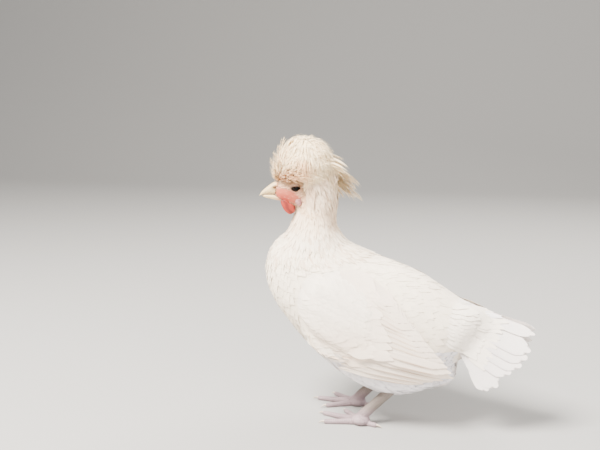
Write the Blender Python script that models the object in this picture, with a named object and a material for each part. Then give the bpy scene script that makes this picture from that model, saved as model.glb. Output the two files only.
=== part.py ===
"""A white Polish crested chicken, life size, standing still with its head turned to its left.

The bird faces -Y, +Z is up and +X is its left side. Sizes below are in millimetres, and MM turns
them into Blender's metres. The floor is Z = 0, and the toes rest on it.
"""

import math
import random

import bmesh
import bpy
from mathutils import Matrix, Vector
from mathutils.bvhtree import BVHTree

MM = 0.001
GAP = 0.3  # left between pieces that touch
FLOOR = 0.0

# Trunk stations, front to rear: (top y, top z), (bottom y, bottom z), half width
BREAST_POLE = (-129, 181)
TRUNK = [
    ((-126, 198), (-126, 160), 25),
    ((-118.5, 214), (-117, 142), 40),
    ((-101, 226), (-103, 122), 51),
    ((-70, 226), (-82, 97), 57),
    ((-38, 218), (-57, 72), 60),
    ((-6, 205), (-30, 54), 60),
    ((26, 195), (0, 40), 58),
    ((56, 184), (32, 35), 54),
    ((82, 169), (60, 41), 47),
    ((104, 154), (86, 58), 38),
    ((121, 147), (105, 84), 27),
    ((133, 142), (122, 99), 17),
]
RUMP_POLE = (138, 119)
TRUNK_FULLNESS = 2.25

# Neck stations, low to high: (front y, z), (back y, z), half width
NECK = [
    ((-111, 200), (-27, 198), 34),
    ((-108.5, 211), (-30, 209), 41),
    ((-105, 221), (-34, 218.5), 39),
    ((-101.5, 231), (-38.5, 228), 33),
    ((-97.5, 242), (-42, 240), 28),
    ((-94, 254), (-44, 256), 24),
    ((-90, 266), (-46, 269), 22.5),
    ((-85, 279), (-49, 281), 21.5),
    ((-80, 290), (-54, 293), 18),
]

# Head stations before it turns, front to rear: y, top z, bottom z, half width
HEAD_AXIS = (0, -72)
HEAD_TURN = math.radians(20)
HEAD_FRONT = (-119.5, 276)
HEAD = [
    (-117.5, 283, 268, 6.5),
    (-111, 291, 262, 11),
    (-102, 299, 257.5, 14.5),
    (-92, 305, 255, 17),
    (-81, 307, 254.5, 18),
    (-70, 302, 258, 16),
    (-63, 293, 266, 11),
]
HEAD_REAR = (-60, 280)

# Bill: y, culmen z, lower edge z, half width
UPPER_BILL = [
    (-112.5, 286.0, 270.2, 7.6),
    (-118, 286.2, 271.4, 6.9),
    (-122, 284.6, 271.9, 6.0),
    (-127, 280.8, 271.9, 4.7),
    (-131.5, 277.2, 271.7, 3.5),
    (-135, 273.6, 270.6, 2.1),
]
UPPER_BILL_TIP = (-137.2, 269.4)
LOWER_BILL = [
    (-112.5, 269.8, 263.6, 6.6),
    (-117, 270.8, 264.6, 5.9),
    (-122, 271.4, 265.8, 5.0),
    (-128, 271.3, 267.2, 3.7),
    (-132, 270.9, 268.4, 2.3),
]
LOWER_BILL_TIP = (-134.4, 270.0)
NOSTRIL = (6.4, -118.2, 279.8)
NOSTRIL_RADII = (2.2, 2.6, 1.4)
GAPE = (10.5, -112.0, 270.8)
GAPE_RADII = (2.4, 4.5, 0.7)

# The eye, the lid's bulge over it and the almond opening cut in that bulge
EYE = (11.2, -95.0, 280.5)
EYE_RADIUS = 6.6
LID_RADIUS = 7.7
LID_OPENING = (18.6, -96.0, 280.7)
LID_OPENING_RADII = (4.4, 5.3, 3.6)
LOBE = (13.4, -90.5, 264.0)
LOBE_RADII = (3.2, 4.6, 5.4)
WATTLE = (7.6, -105.0, 261.5)
WATTLE_RADII = (3.0, 8.2, 10.5)
WATTLE_SPLAY = 1.2
WATTLE_SWEEP = 1.5
WATTLE_RIPPLE = 0.45
WATTLE_FOLDS = 0.75  # radians of ripple in a millimetre along the wattle

# Loose feathering over the thigh: x, y, z, radius
THIGH = [
    (37, -46, 97, 5),
    (36, -30, 87, 17),
    (34, -8, 76, 19.5),
    (33.5, 14, 68, 20),
    (33, 34, 66, 19),
    (33, 52, 62.5, 14),
    (33, 64, 59.5, 7.5),
    (33, 71, 58, 2),
]
THIGH_FLATTEN = (0.76, 1.12)

# Legs: name, side, how far ahead the foot stands and how many degrees it turns inward
LEGS = [("left", 1, 0, 19), ("right", -1, -16, -6)]
FOOT_JOINT = (30, -6, 9)
SHANK_TOP = (29, 44, 60)
SHANK_RADII = (5.0, 6.2)
SHANK_STATIONS = (-0.06, 0.1, 0.3, 0.65, 1.0)
SHANK_SWELL = (0.85, 1.02, 0.94, 0.97, 1.08)
PALM_RADII = (11.0, 11.5, 6.5)
# Toes: name, degrees inward from the foot's heading, length, root radius
TOES = [
    ("middle", 0, 46, 4.5),
    ("inner", 33, 34, 4.1),
    ("outer", -32, 37, 4.1),
    ("hallux", 177, 15, 3.5),
]
TOE_STATIONS = 5
TOE_PADS = 3
TOE_SWELL = 0.06
TOE_TIP_RADIUS = 2.6
TOE_SEAT = 0.9  # height of a toe's middle in toe radii, so that it is cut flat below
TOE_SINK = 5.0
CLAW_LENGTH = 10
CLAW_STATIONS = 4
CLAW_SIDES = 5
CLAW_SHARE = 0.64
CLAW_ARCH = 1.0
CLAW_CLEAR = 0.6
CLAW_SINK = 2.0

# Vanes: station places along a feather, and its width at each as a share of the widest
FLIGHT_FORM = ((0.0, 0.36, 0.72, 0.92), (0.32, 0.92, 1.0, 0.62))
COVERT_FORM = ((0.0, 0.48, 0.86), (0.4, 1.0, 0.78))
VANE_DEPTH = (0.42, 0.3)  # half its thickness at the root and near the tip
FIELD_STEP = 0.5
VANE_CLEAR = 0.4  # share of a vane's length by which it is clear of what it grows from

# The crest, about its centre. A lock's place is its sweep, in degrees from the forehead over
# the top to the nape, and its turn, in degrees to either side of the middle plane.
CREST_CENTRE = (0, -85, 303)
CREST_CORE_RADII = (20, 20.5, 20)
CREST_CORE_REAR = (0, -62, 291)
CREST_CORE_REAR_RADII = (19, 17, 14)
CREST_LOCKS = 56
CREST_WISPS = 10
CREST_SEED = 7
CREST_SWEEP = (30, 172)  # of the foremost and the rearmost tip
CREST_TURN = (110, 128)  # to either side, in front and behind
CREST_JITTER = 7  # degrees
CREST_DROOP = 0.42  # how far the dome's front and rear lie below its middle
CREST_REACH = (37.5, 40.5)  # at the sides and on top
CREST_REAR_REACH = 12  # further reach at the nape
CREST_WISP_SWEEP = (128, 190)
CREST_WISP_TURN = 48
CREST_WISP_REACH = (52, 92)
CREST_ROOT = 15  # how far from the centre a lock starts
CREST_LENGTH = (62, 34)  # degrees of sweep from root to tip, of a front and a rear lock
CREST_MIDDLE = (0.96, 0.66)  # the reach of a lock's and a wisp's middle, as a share of its tip's
CREST_WIDTH = (13, 7)  # of a common lock and of a long wisp
CREST_PLACES = (0.0, 0.48, 0.82)
CREST_WIDTHS = (0.45, 1.0, 0.72)
CREST_DEPTH = (0.8, 0.34)
CREST_SPIN = (0.16, 0.08)  # radians about a lock's length, and how far that varies
EYE_CLEAR = (17, -97, 281)
EYE_CLEAR_RADII = (10, 11, 8.5)

# Folded wing: the core's outline as (y, z), and how far it stands out from the trunk
WING_CORE = [
    (-78, 158),
    (-66, 178),
    (-38, 186),
    (-8, 180),
    (12, 167),
    (21, 148),
    (22, 128),
    (18, 108),
    (8, 92),
    (-10, 80),
    (-36, 84),
    (-58, 104),
    (-73, 131),
]
WING_STAND = 4.4
WING_SHELL = (62.5, 0.0013, 0.0035, -5, 100)
WING_SINK = 15
WING_EDGE = 5.5  # how far the core's rim dips below the sheet
WING_CROWN = 5.5
WING_ROOT_DIP = 3.5
# Tiers of vanes: count, then for the lowest and the highest feather its tip (y, z), degrees
# below level, length, width and stand above the wing's field, and then the tier's tilt
WING_TIERS = {
    "primary": (4, ((72, 66), 8, 100, 11, -4.4), ((105, 70), 12, 122, 13, -1.6), 0.17),
    "secondary": (8, ((98, 79), 12, 92, 16, 0), ((36, 152), 34, 52, 18, 0), 0.17),
    "greater": (6, ((32, 96), 13, 44, 19, 1.5), ((12, 166), 30, 36, 20, 1.5), 0.11),
    "median": (5, ((-3, 106), 16, 36, 21, 2.8), ((-12, 173), 28, 30, 20, 2.8), 0.09),
}
WING_BEND = 0.05
SIDE_REACH = 150

# Tail: the ridge, the roof's slope off it, and each feather's root and tip as (y, z)
TAIL_RIDGE = (100, 152, 0.33)
TAIL_ROOF = (0.9, 14, 16, 0.2)
TAIL_STAND = 1.6
TAIL_FEATHERS = [
    ((110, 145), (190, 116.5), 20),
    ((110, 137), (188, 105), 21),
    ((109, 131), (184, 95), 21),
    ((108, 125), (178, 86), 21),
    ((107, 118), (167, 77.5), 21),
    ((106, 111), (153.5, 61.5), 20),
    ((104, 105), (140, 54.5), 19),
]
TAIL_COVERTS = [
    ((98, 146), (146, 131), 19),
    ((97, 135), (143, 117), 20),
    ((96, 124), (138, 103), 20),
    ((95, 113), (130, 88), 19),
]
TAIL_COVERT_STAND = 1.5
TAIL_ROOT_DIP = 5.5
TAIL_RIM_DIP = 4.5
TAIL_CROWN = 4.5
TAIL_TILT = 0.15
TAIL_BEND = -0.05
TAIL_TURN = {"left": 1.5, "right": -1.5}  # degrees that each half is turned down
TAIL_PIVOT = (110, 130)
TAIL_CORE = [
    (96, 152),
    (116, 147),
    (136, 138),
    (146, 124),
    (144, 108),
    (134, 94),
    (120, 86),
    (104, 92),
    (94, 108),
    (90, 130),
]
TAIL_CORE_DEPTH = 9
OUTLINE_SAMPLES = 16

COLOURS = {
    "feather": ((0.90, 0.88, 0.84, 1), 0.75),
    "crest": ((0.92, 0.89, 0.80, 1), 0.8),
    "flight": ((0.88, 0.87, 0.86, 1), 0.6),
    "skin": ((0.75, 0.16, 0.12, 1), 0.5),
    "horn": ((0.86, 0.78, 0.66, 1), 0.4),
    "shank": ((0.48, 0.47, 0.50, 1), 0.6),
    "eye": ((0.03, 0.012, 0.008, 1), 0.08),
    "lobe": ((0.88, 0.70, 0.70, 1), 0.6),
}


def clear_scene():
    for thing in list(bpy.data.objects):
        bpy.data.objects.remove(thing)


def vec(x, y, z):
    return Vector((x, y, z)) * MM


def material(name):
    found = bpy.data.materials.get(name)
    if found:
        return found
    colour, roughness = COLOURS[name]
    made = bpy.data.materials.new(name)
    made.use_nodes = True
    shader = made.node_tree.nodes["Principled BSDF"]
    shader.inputs["Base Color"].default_value = colour
    shader.inputs["Roughness"].default_value = roughness
    return made


def add_object(name, mesh, colour="feather"):
    made = bpy.data.objects.new(name, mesh)
    bpy.data.collections["chicken"].objects.link(made)
    mesh.materials.append(material(colour))
    return made


def catmull(values, samples):
    """Points on the smooth curve through equal-length tuples of numbers."""
    ends = [values[0], *values, values[-1]]
    found = []
    for n in range(samples):
        place = n / (samples - 1) * (len(values) - 1)
        k = min(int(place), len(values) - 2)
        t = place - k
        four = ends[k : k + 4]
        found.append(
            tuple(
                0.5
                * (
                    2 * b
                    + (c - a) * t
                    + (2 * a - 5 * b + 4 * c - d) * t * t
                    + (3 * b - a - 3 * c + d) * t**3
                )
                for a, b, c, d in zip(*four)
            )
        )
    return found


def superellipse(count, fullness):
    """(sideways, upward) pairs round a section, starting at the top."""
    power = 2 / fullness
    found = []
    for k in range(count):
        a = 2 * math.pi * k / count
        s, c = math.sin(a), math.cos(a)
        found.append(
            (
                math.copysign(abs(s) ** power, s),
                math.copysign(abs(c) ** power, c),
            )
        )
    return found


def skin_rings(rings, start=None, end=None):
    """A closed mesh over rings of points, each end drawn to a pole or capped flat."""
    made = bmesh.new()
    loops = [[made.verts.new(p) for p in ring] for ring in rings]
    for a, b in zip(loops, loops[1:]):
        for k in range(len(a)):
            j = (k + 1) % len(a)
            made.faces.new((a[k], a[j], b[j], b[k]))
    for loop, pole in ((loops[0], start), (loops[-1], end)):
        if pole is None:
            made.faces.new(loop)
            continue
        tip = made.verts.new(pole)
        for k in range(len(loop)):
            made.faces.new((loop[k], loop[(k + 1) % len(loop)], tip))
    bmesh.ops.recalc_face_normals(made, faces=made.faces)
    return made


def to_mesh(made, name, smooth=True):
    bmesh.ops.triangulate(made, faces=[f for f in made.faces if len(f.verts) > 4])
    mesh = bpy.data.meshes.new(name)
    made.to_mesh(mesh)
    made.free()
    if smooth:
        mesh.shade_smooth()
    return mesh


def paired_loft(stations, rings, sides, fullness):
    """Rings whose upper and lower points lie in the bird's middle plane."""
    flat = [(*top, *low, half) for top, low, half in stations]
    found = []
    for ty, tz, by, bz, half in catmull(flat, rings):
        top, low = vec(0, ty, tz), vec(0, by, bz)
        centre, arm = (top + low) / 2, (top - low) / 2
        side = Vector((half, 0, 0)) * MM
        found.append(
            [centre + side * s + arm * c for s, c in superellipse(sides, fullness)]
        )
    return found


def trunk_mesh():
    found = paired_loft(TRUNK, 21, 24, TRUNK_FULLNESS)
    return skin_rings(found, vec(0, *BREAST_POLE), vec(0, *RUMP_POLE))


def neck_mesh():
    return skin_rings(paired_loft(NECK, 11, 20, 2.1))


def head_mesh():
    stations = [((y, high), (y, low), half) for y, high, low, half in HEAD]
    found = paired_loft(stations, 11, 20, 2.15)
    return skin_rings(found, vec(0, *HEAD_FRONT), vec(0, *HEAD_REAR))


def bill_mesh(stations, tip):
    pairs = [((y, high), (y, low), half) for y, high, low, half in stations]
    return skin_rings(paired_loft(pairs, 8, 12, 2.4), None, vec(0, *tip))


def ellipsoid(centre, radii, segments=20, rings=12):
    made = bmesh.new()
    bmesh.ops.create_uvsphere(made, u_segments=segments, v_segments=rings, radius=1)
    bmesh.ops.scale(made, vec=Vector(radii) * MM, verts=made.verts)
    bmesh.ops.translate(made, vec=vec(*centre), verts=made.verts)
    return made


def tube(points, radii, sides=14, flatten=(1, 1)):
    """A closed tube along points, with one radius at each. Its ends are capped."""
    rings = []
    for k, point in enumerate(points):
        ahead = points[min(k + 1, len(points) - 1)]
        behind = points[max(k - 1, 0)]
        along = (ahead - behind).normalized()
        side = along.cross(Vector((0, 0, 1)))
        side = side.normalized() if side.length > 1e-4 else Vector((1, 0, 0))
        up = side.cross(along)
        rings.append(
            [
                point
                + side * (radii[k] * flatten[0] * MM * s)
                + up * (radii[k] * flatten[1] * MM * c)
                for s, c in superellipse(sides, 2)
            ]
        )
    return skin_rings(rings)


def turned_head(made):
    """Turns what belongs to the head about the neck's upright axis."""
    pivot = vec(*HEAD_AXIS, 0)
    bmesh.ops.rotate(
        made, cent=pivot, matrix=Matrix.Rotation(HEAD_TURN, 3, "Z"), verts=made.verts
    )
    return made


def boolean(target, others, operation, solver="EXACT"):
    """Cuts the closed meshes from the target, or joins them to it, and removes them."""
    group = bpy.data.collections.new("tools")
    bpy.context.scene.collection.children.link(group)
    for k, made in enumerate(others):
        tool = bpy.data.objects.new(f"tool_{k}", to_mesh(made, "tool"))
        group.objects.link(tool)
    step = target.modifiers.new("join", "BOOLEAN")
    step.operation = operation
    step.operand_type = "COLLECTION"
    step.collection = group
    step.solver = solver
    apply_modifiers(target)
    for tool in list(group.objects):
        bpy.data.objects.remove(tool)
    bpy.data.collections.remove(group)


def apply_modifiers(target):
    graph = bpy.context.evaluated_depsgraph_get()
    graph.update()
    mesh = bpy.data.meshes.new_from_object(target.evaluated_get(graph))
    target.modifiers.clear()
    target.data = mesh


def keep_largest(target):
    """Leaves only the closed surface that encloses the most."""
    made = bmesh.new()
    made.from_mesh(target.data)
    bmesh.ops.triangulate(made, faces=made.faces)
    unseen = set(made.verts)
    islands = []
    while unseen:
        grown, edge = set(), [unseen.pop()]
        while edge:
            vert = edge.pop()
            grown.add(vert)
            for link in vert.link_edges:
                other = link.other_vert(vert)
                if other in unseen:
                    unseen.discard(other)
                    edge.append(other)
        faces = {f for v in grown for f in v.link_faces}
        volume = sum(
            f.verts[0].co.dot(f.verts[1].co.cross(f.verts[2].co)) for f in faces
        )
        islands.append((volume, grown))
    islands.sort(key=lambda island: island[0])
    for _, grown in islands[:-1]:
        bmesh.ops.delete(made, geom=list(grown), context="VERTS")
    made.to_mesh(target.data)
    made.free()


def carve(target, others):
    boolean(target, others, "DIFFERENCE")
    keep_largest(target)


def mirrored(made):
    """The other side of the bird, as a new bmesh that faces outward."""
    other = made.copy()
    for vert in other.verts:
        vert.co.x = -vert.co.x
    bmesh.ops.reverse_faces(other, faces=other.faces)
    return other


def grown(target, lift):
    """The object's mesh pushed outward by lift, to cut its neighbours clear of it."""
    made = bmesh.new()
    made.from_mesh(target.data)
    made.normal_update()
    moves = [v.normal * (lift * MM * v.calc_shell_factor()) for v in made.verts]
    for vert, move in zip(made.verts, moves):
        vert.co += move
    return made


def sides_of(made):
    """A left piece and its right twin, both turned with the head."""
    other = mirrored(made)
    return turned_head(made), turned_head(other)


def build_head():
    """The head with its lids, a socket for each eye, and the corners of the mouth."""
    head = add_object("head", to_mesh(turned_head(head_mesh()), "head"), "skin")
    lid = ellipsoid(EYE, (LID_RADIUS,) * 3, 16, 9)
    boolean(head, sides_of(lid), "UNION")
    socket = ellipsoid(EYE, (EYE_RADIUS + GAP,) * 3, 12, 7)
    opening = ellipsoid(LID_OPENING, LID_OPENING_RADII, 12, 7)
    gape = ellipsoid(GAPE, GAPE_RADII, 8, 5)
    carve(head, [*sides_of(socket), *sides_of(opening), *sides_of(gape)])
    eyes = sides_of(ellipsoid(EYE, (EYE_RADIUS,) * 3, 12, 7))
    for side, made in zip(("left", "right"), eyes):
        add_object(f"eye_{side}", to_mesh(made, "eye"), "eye")
    return head


def build_bill(head):
    upper_made = turned_head(bill_mesh(UPPER_BILL, UPPER_BILL_TIP))
    upper = add_object("bill_upper", to_mesh(upper_made, "bill"), "horn")
    nostril = ellipsoid(NOSTRIL, NOSTRIL_RADII, 8, 5)
    carve(upper, [grown(head, GAP), *sides_of(nostril)])
    lower_made = turned_head(bill_mesh(LOWER_BILL, LOWER_BILL_TIP))
    lower = add_object("bill_lower", to_mesh(lower_made, "bill"), "horn")
    carve(lower, [grown(head, GAP), grown(upper, GAP)])
    return upper, lower


def wattle_mesh():
    made = ellipsoid(WATTLE, WATTLE_RADII, 14, 7)
    for vert in made.verts:
        drop = (WATTLE[2] * MM - vert.co.z) / (WATTLE_RADII[2] * MM)
        fold = math.sin(vert.co.y / MM * WATTLE_FOLDS)
        vert.co.x += (WATTLE_SPLAY * drop + WATTLE_RIPPLE * fold * (1 + drop)) * MM
        vert.co.y += WATTLE_SWEEP * drop * MM
    return made


def build_face(head, bill):
    """The wattles under the bill and the pale lobes behind them."""
    against = [head, *bill]
    made = []
    for side, wattle in zip(("left", "right"), sides_of(wattle_mesh())):
        piece = add_object(f"wattle_{side}", to_mesh(wattle, "wattle"), "skin")
        carve(piece, [grown(other, GAP) for other in against])
        made.append(piece)
    against += made
    for side, lobe in zip(("left", "right"), sides_of(ellipsoid(LOBE, LOBE_RADII, 10, 6))):
        piece = add_object(f"lobe_{side}", to_mesh(lobe, "lobe"), "lobe")
        carve(piece, [grown(other, GAP) for other in against])
        made.append(piece)
    return made


def toe_points(joint, heading, length, radius, side, reach):
    """The centre line of a toe along the floor, and its radius at each point."""
    turn = math.radians(heading)
    ahead = Vector((-side * math.sin(turn), -math.cos(turn), 0))
    start = Vector((joint.x, joint.y, 0)) + ahead * (reach * MM)
    points, radii = [], []
    for k in range(TOE_STATIONS):
        t = k / (TOE_STATIONS - 1)
        swell = 1 + TOE_SWELL * math.cos(2 * math.pi * TOE_PADS * t)
        r = (radius + (TOE_TIP_RADIUS - radius) * t) * swell
        points.append(start + ahead * (length * t * MM) + Vector((0, 0, r * TOE_SEAT * MM)))
        radii.append(r)
    return points, radii, ahead


def flattened(made):
    """Cuts off what lies below the floor, which leaves flats to stand on."""
    geometry = made.verts[:] + made.edges[:] + made.faces[:]
    cut = bmesh.ops.bisect_plane(
        made,
        geom=geometry,
        plane_co=(0, 0, FLOOR),
        plane_no=(0, 0, 1),
        clear_inner=True,
    )
    edges = [e for e in cut["geom_cut"] if isinstance(e, bmesh.types.BMEdge)]
    bmesh.ops.holes_fill(made, edges=edges)
    bmesh.ops.triangulate(made, faces=made.faces)
    bmesh.ops.recalc_face_normals(made, faces=made.faces)
    return made


def claw_mesh(base, ahead, radius):
    """A curved claw whose tip stops just above the floor."""
    points, radii = [], []
    for k in range(CLAW_STATIONS):
        t = k / CLAW_STATIONS
        arch = CLAW_ARCH * math.sin(math.pi * t)
        fall = (base.z / MM - CLAW_CLEAR) * t * t
        points.append(base + ahead * (CLAW_LENGTH * t * MM) + Vector((0, 0, arch - fall)) * MM)
        radii.append(radius * (1 - t) ** 0.7)
    made = tube(points, radii, CLAW_SIDES)
    tip = base + ahead * (CLAW_LENGTH * MM)
    tip.z = CLAW_CLEAR * MM
    end = [f for f in made.faces if len(f.verts) == CLAW_SIDES]
    cap = max(end, key=lambda f: f.calc_center_median().dot(ahead))
    bmesh.ops.poke(made, faces=[cap])
    made.verts.ensure_lookup_table()
    made.verts[-1].co = tip
    return made


def build_leg(name, side, step, turn, trunk, thigh):
    """Shank and palm in one node, and four toes with their claws."""
    shift = Vector((0, step, 0)) * MM
    joint = vec(side * FOOT_JOINT[0], *FOOT_JOINT[1:]) + shift
    top = vec(side * SHANK_TOP[0], *SHANK_TOP[1:]) + shift
    points = [joint.lerp(top, t) for t in SHANK_STATIONS]
    radii = [SHANK_RADII[1] * swell for swell in SHANK_SWELL]
    flatten = (SHANK_RADII[0] / SHANK_RADII[1], 1)
    shank = add_object(
        f"shank_{name}", to_mesh(tube(points, radii, 10, flatten), "shank"), "shank"
    )
    x, y, _ = joint / MM
    palm = ellipsoid((x, y, PALM_RADII[2] * TOE_SEAT), PALM_RADII, 12, 6)
    boolean(shank, [flattened(palm)], "UNION")
    carve(shank, [grown(trunk, GAP), grown(thigh, GAP)])
    made = [shank]
    for toe, heading, length, radius in TOES:
        reach = PALM_RADII[0] - TOE_SINK
        points, radii, ahead = toe_points(joint, turn + heading, length, radius, side, reach)
        base, claw_radius = points[-1], radii[-1] * CLAW_SHARE
        piece = add_object(
            f"toe_{toe}_{name}", to_mesh(flattened(tube(points, radii, 7)), "toe"), "shank"
        )
        carve(piece, [grown(other, GAP) for other in made])
        made.append(piece)
        claw = claw_mesh(base - ahead * (CLAW_SINK * MM), ahead, claw_radius)
        horn = add_object(f"claw_{toe}_{name}", to_mesh(claw, "claw"), "horn")
        carve(horn, [grown(piece, GAP)])


def build_thigh(name, side, trunk):
    points = [vec(side * x, y, z) for x, y, z, _ in THIGH]
    radii = [r for _, _, _, r in THIGH]
    thigh = add_object(
        f"thigh_{name}", to_mesh(tube(points, radii, 16, THIGH_FLATTEN), "thigh")
    )
    carve(thigh, [grown(trunk, GAP)])
    return thigh


def slab(outline, outer, inner, rings=3):
    """A closed piece over an outline in the YZ plane, between two height fields x(y, z)."""
    middle = [sum(values) / len(outline) for values in zip(*outline)]
    edge = catmull([*outline, outline[0]], OUTLINE_SAMPLES + 1)[:-1]
    made = bmesh.new()
    sheets = []
    for field in (outer, inner):
        sheet = []
        for k in range(rings):
            share = 1 - k / rings
            loop = []
            for y, z in edge:
                py = middle[0] + (y - middle[0]) * share
                pz = middle[1] + (z - middle[1]) * share
                loop.append(made.verts.new(vec(field(py, pz, 1 - share), py, pz)))
            sheet.append(loop)
        centre = made.verts.new(vec(field(*middle, 1), *middle))
        sheets.append((sheet, centre))
    count = len(edge)
    for sheet, centre in sheets:
        for a, b in zip(sheet, sheet[1:]):
            for k in range(count):
                made.faces.new((a[k], a[(k + 1) % count], b[(k + 1) % count], b[k]))
        for k in range(count):
            made.faces.new((sheet[-1][k], sheet[-1][(k + 1) % count], centre))
    rim, back = sheets[0][0][0], sheets[1][0][0]
    for k in range(count):
        made.faces.new((rim[k], rim[(k + 1) % count], back[(k + 1) % count], back[k]))
    bmesh.ops.recalc_face_normals(made, faces=made.faces)
    return made


def ramp(value, low, high):
    """0 below low, 1 above high, and smooth between them."""
    t = min(max((value - low) / (high - low), 0.0), 1.0)
    return t * t * (3 - 2 * t)


def trunk_side(tree, y, z):
    """How far out the trunk's side is at a height, in millimetres, or 0 beyond its ends."""
    hit = tree.ray_cast(vec(SIDE_REACH, y, z), Vector((-1, 0, 0)))
    return max(hit[0].x / MM, 0.0) if hit[0] else 0.0


def blade(stations, tip):
    """A closed thin vane. A station is (centre, across, normal, half width, half depth)."""
    made = bmesh.new()
    loops = []
    for centre, across, normal, half, depth in stations:
        out, up = across * (half * MM), normal * (depth * MM)
        corners = (centre - out + up, centre + out + up, centre + out - up, centre - out - up)
        loops.append([made.verts.new(corner) for corner in corners])
    end = made.verts.new(tip)
    for a, b in zip(loops, loops[1:]):
        # The upper face and the lower one are split alike, so that a curved vane stays thick.
        made.faces.new((a[0], a[1], b[1]))
        made.faces.new((a[0], b[1], b[0]))
        made.faces.new((a[2], a[3], b[2]))
        made.faces.new((a[3], b[3], b[2]))
        made.faces.new((a[1], a[2], b[2], b[1]))
        made.faces.new((a[3], a[0], b[0], b[3]))
    for k in range(4):
        made.faces.new((loops[-1][k], loops[-1][(k + 1) % 4], end))
    made.faces.new(loops[0])
    bmesh.ops.recalc_face_normals(made, faces=made.faces)
    return made


def mix(low, high, t):
    return low + (high - low) * t


def sheet_vane(field, form, root, tip, width, tilt, stand, bend, dip):
    """A feather laid on the sheet x = field(y, z), its upper edge tucked in by the tilt."""
    root, tip = Vector(root), Vector(tip)
    along = tip - root
    across = Vector((-along.y, along.x)).normalized()
    control = (root + tip) / 2 + across * (along.length * bend)

    def centre_line(t):
        return root * (1 - t) ** 2 + control * (2 * t * (1 - t)) + tip * (t * t)

    def lifted(place, aside, t):
        sunk = dip * (1 - ramp(t, 0, VANE_CLEAR))
        return vec(field(place.x, place.y) + stand - sunk - tilt * aside, place.x, place.y)

    stations = []
    for t, share in zip(*form):
        here = centre_line(t)
        ahead = (centre_line(t + 0.01) - centre_line(t - 0.01)).normalized()
        side = Vector((-ahead.y, ahead.x))
        middle = lifted(here, 0, t)
        upper = lifted(here + side * FIELD_STEP, FIELD_STEP, t)
        onward = lifted(here + ahead * FIELD_STEP, 0, t)
        normal = (upper - middle).cross(onward - middle).normalized()
        if normal.x < 0:
            normal = -normal
        outward = (upper - middle).normalized()
        depth = mix(*VANE_DEPTH, t)
        stations.append((middle, outward, normal, width / 2 * share, depth))
    return blade(stations, lifted(tip, 0, 1))


def wing_field(tree, y, z):
    """The folded wing's middle sheet: over the trunk, and free of it towards the tip."""
    middle, bend_y, bend_z, y0, z0 = WING_SHELL
    shell = middle - bend_y * (y - y0) ** 2 - bend_z * (z - z0) ** 2
    return max(trunk_side(tree, y, z) + WING_STAND, shell)


def wing_vanes(field):
    found = []
    for count, low, high, tilt in WING_TIERS.values():
        for k in range(count):
            t = k / (count - 1)
            tip = Vector(low[0]).lerp(Vector(high[0]), t)
            drop, length, width, stand = (mix(a, b, t) for a, b in zip(low[1:], high[1:]))
            turn = math.radians(drop)
            root = tip - Vector((math.cos(turn), -math.sin(turn))) * length
            laid = (width, tilt, stand, WING_BEND, WING_ROOT_DIP)
            form = COVERT_FORM if stand > 0 else FLIGHT_FORM
            found.append(sheet_vane(field, form, root, tip, *laid))
    return found


def trunk_tree(trunk):
    made = bmesh.new()
    made.from_mesh(trunk.data)
    tree = BVHTree.FromBMesh(made)
    made.free()
    return tree


def joined(name, pieces, colour, side, around):
    """Fuses closed pieces into one node on the given side and cuts it clear of others."""
    if side < 0:
        pieces = [mirrored(made) for made in pieces]
    core = add_object(name, to_mesh(pieces[0], name), colour)
    boolean(core, pieces[1:], "UNION", "MANIFOLD")
    carve(core, [grown(other, GAP) for other in around])
    return core


def build_wing(name, side, trunk, thigh):
    """A folded wing: a core over the arm, flight feathers and two tiers of coverts."""
    tree = trunk_tree(trunk)

    def field(y, z):
        return wing_field(tree, y, z)

    def outer(y, z, inward):
        return field(y, z) - WING_EDGE + WING_CROWN * ramp(inward, 0, 0.4)

    def inner(y, z, inward):
        return field(y, z) - WING_EDGE - mix(1.0, WING_SINK, ramp(inward, 0, 0.2))

    pieces = [slab(WING_CORE, outer, inner), *wing_vanes(field)]
    return joined(f"wing_{name}", pieces, "flight", side, (trunk, thigh))


def tail_field(tree, y, z):
    """One half of the tail's roof, and over the rump where that is wider."""
    start, height, slope = TAIL_RIDGE
    ridge, rise, reach, splay = TAIL_ROOF
    drop = max(height - slope * (y - start) - z, 0)
    roof = ridge + rise * (1 - math.exp(-drop / reach)) + splay * drop
    return max(roof, trunk_side(tree, y, z) + TAIL_STAND)


def turned_down(place, degrees):
    """A (y, z) place swung about the tail's root."""
    turn = Matrix.Rotation(-math.radians(degrees), 2)
    return Vector(TAIL_PIVOT) + turn @ (Vector(place) - Vector(TAIL_PIVOT))


def build_tail(name, side, trunk):
    """Half the tail: a core on the rump, flight feathers in a fan and coverts over them."""
    tree = trunk_tree(trunk)

    def field(y, z):
        return tail_field(tree, y, z)

    def outer(y, z, inward):
        height = field(y, z) - TAIL_RIM_DIP + TAIL_CROWN * ramp(inward, 0, 0.45)
        return max(height, 2 * GAP)

    def inner(y, z, inward):
        depth = mix(1.0, TAIL_CORE_DEPTH, ramp(inward, 0, 0.4))
        return max(outer(y, z, 0) - depth, GAP / 2)

    pieces = [slab(TAIL_CORE, outer, inner)]
    tiers = ((FLIGHT_FORM, TAIL_FEATHERS, 0), (COVERT_FORM, TAIL_COVERTS, TAIL_COVERT_STAND))
    for form, feathers, stand in tiers:
        for root, tip, width in feathers:
            tip = turned_down(tip, TAIL_TURN[name])
            laid = (width, TAIL_TILT, stand, TAIL_BEND, TAIL_ROOT_DIP)
            pieces.append(sheet_vane(field, form, root, tip, *laid))
    return joined(f"tail_{name}", pieces, "flight", side, (trunk,))


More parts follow.
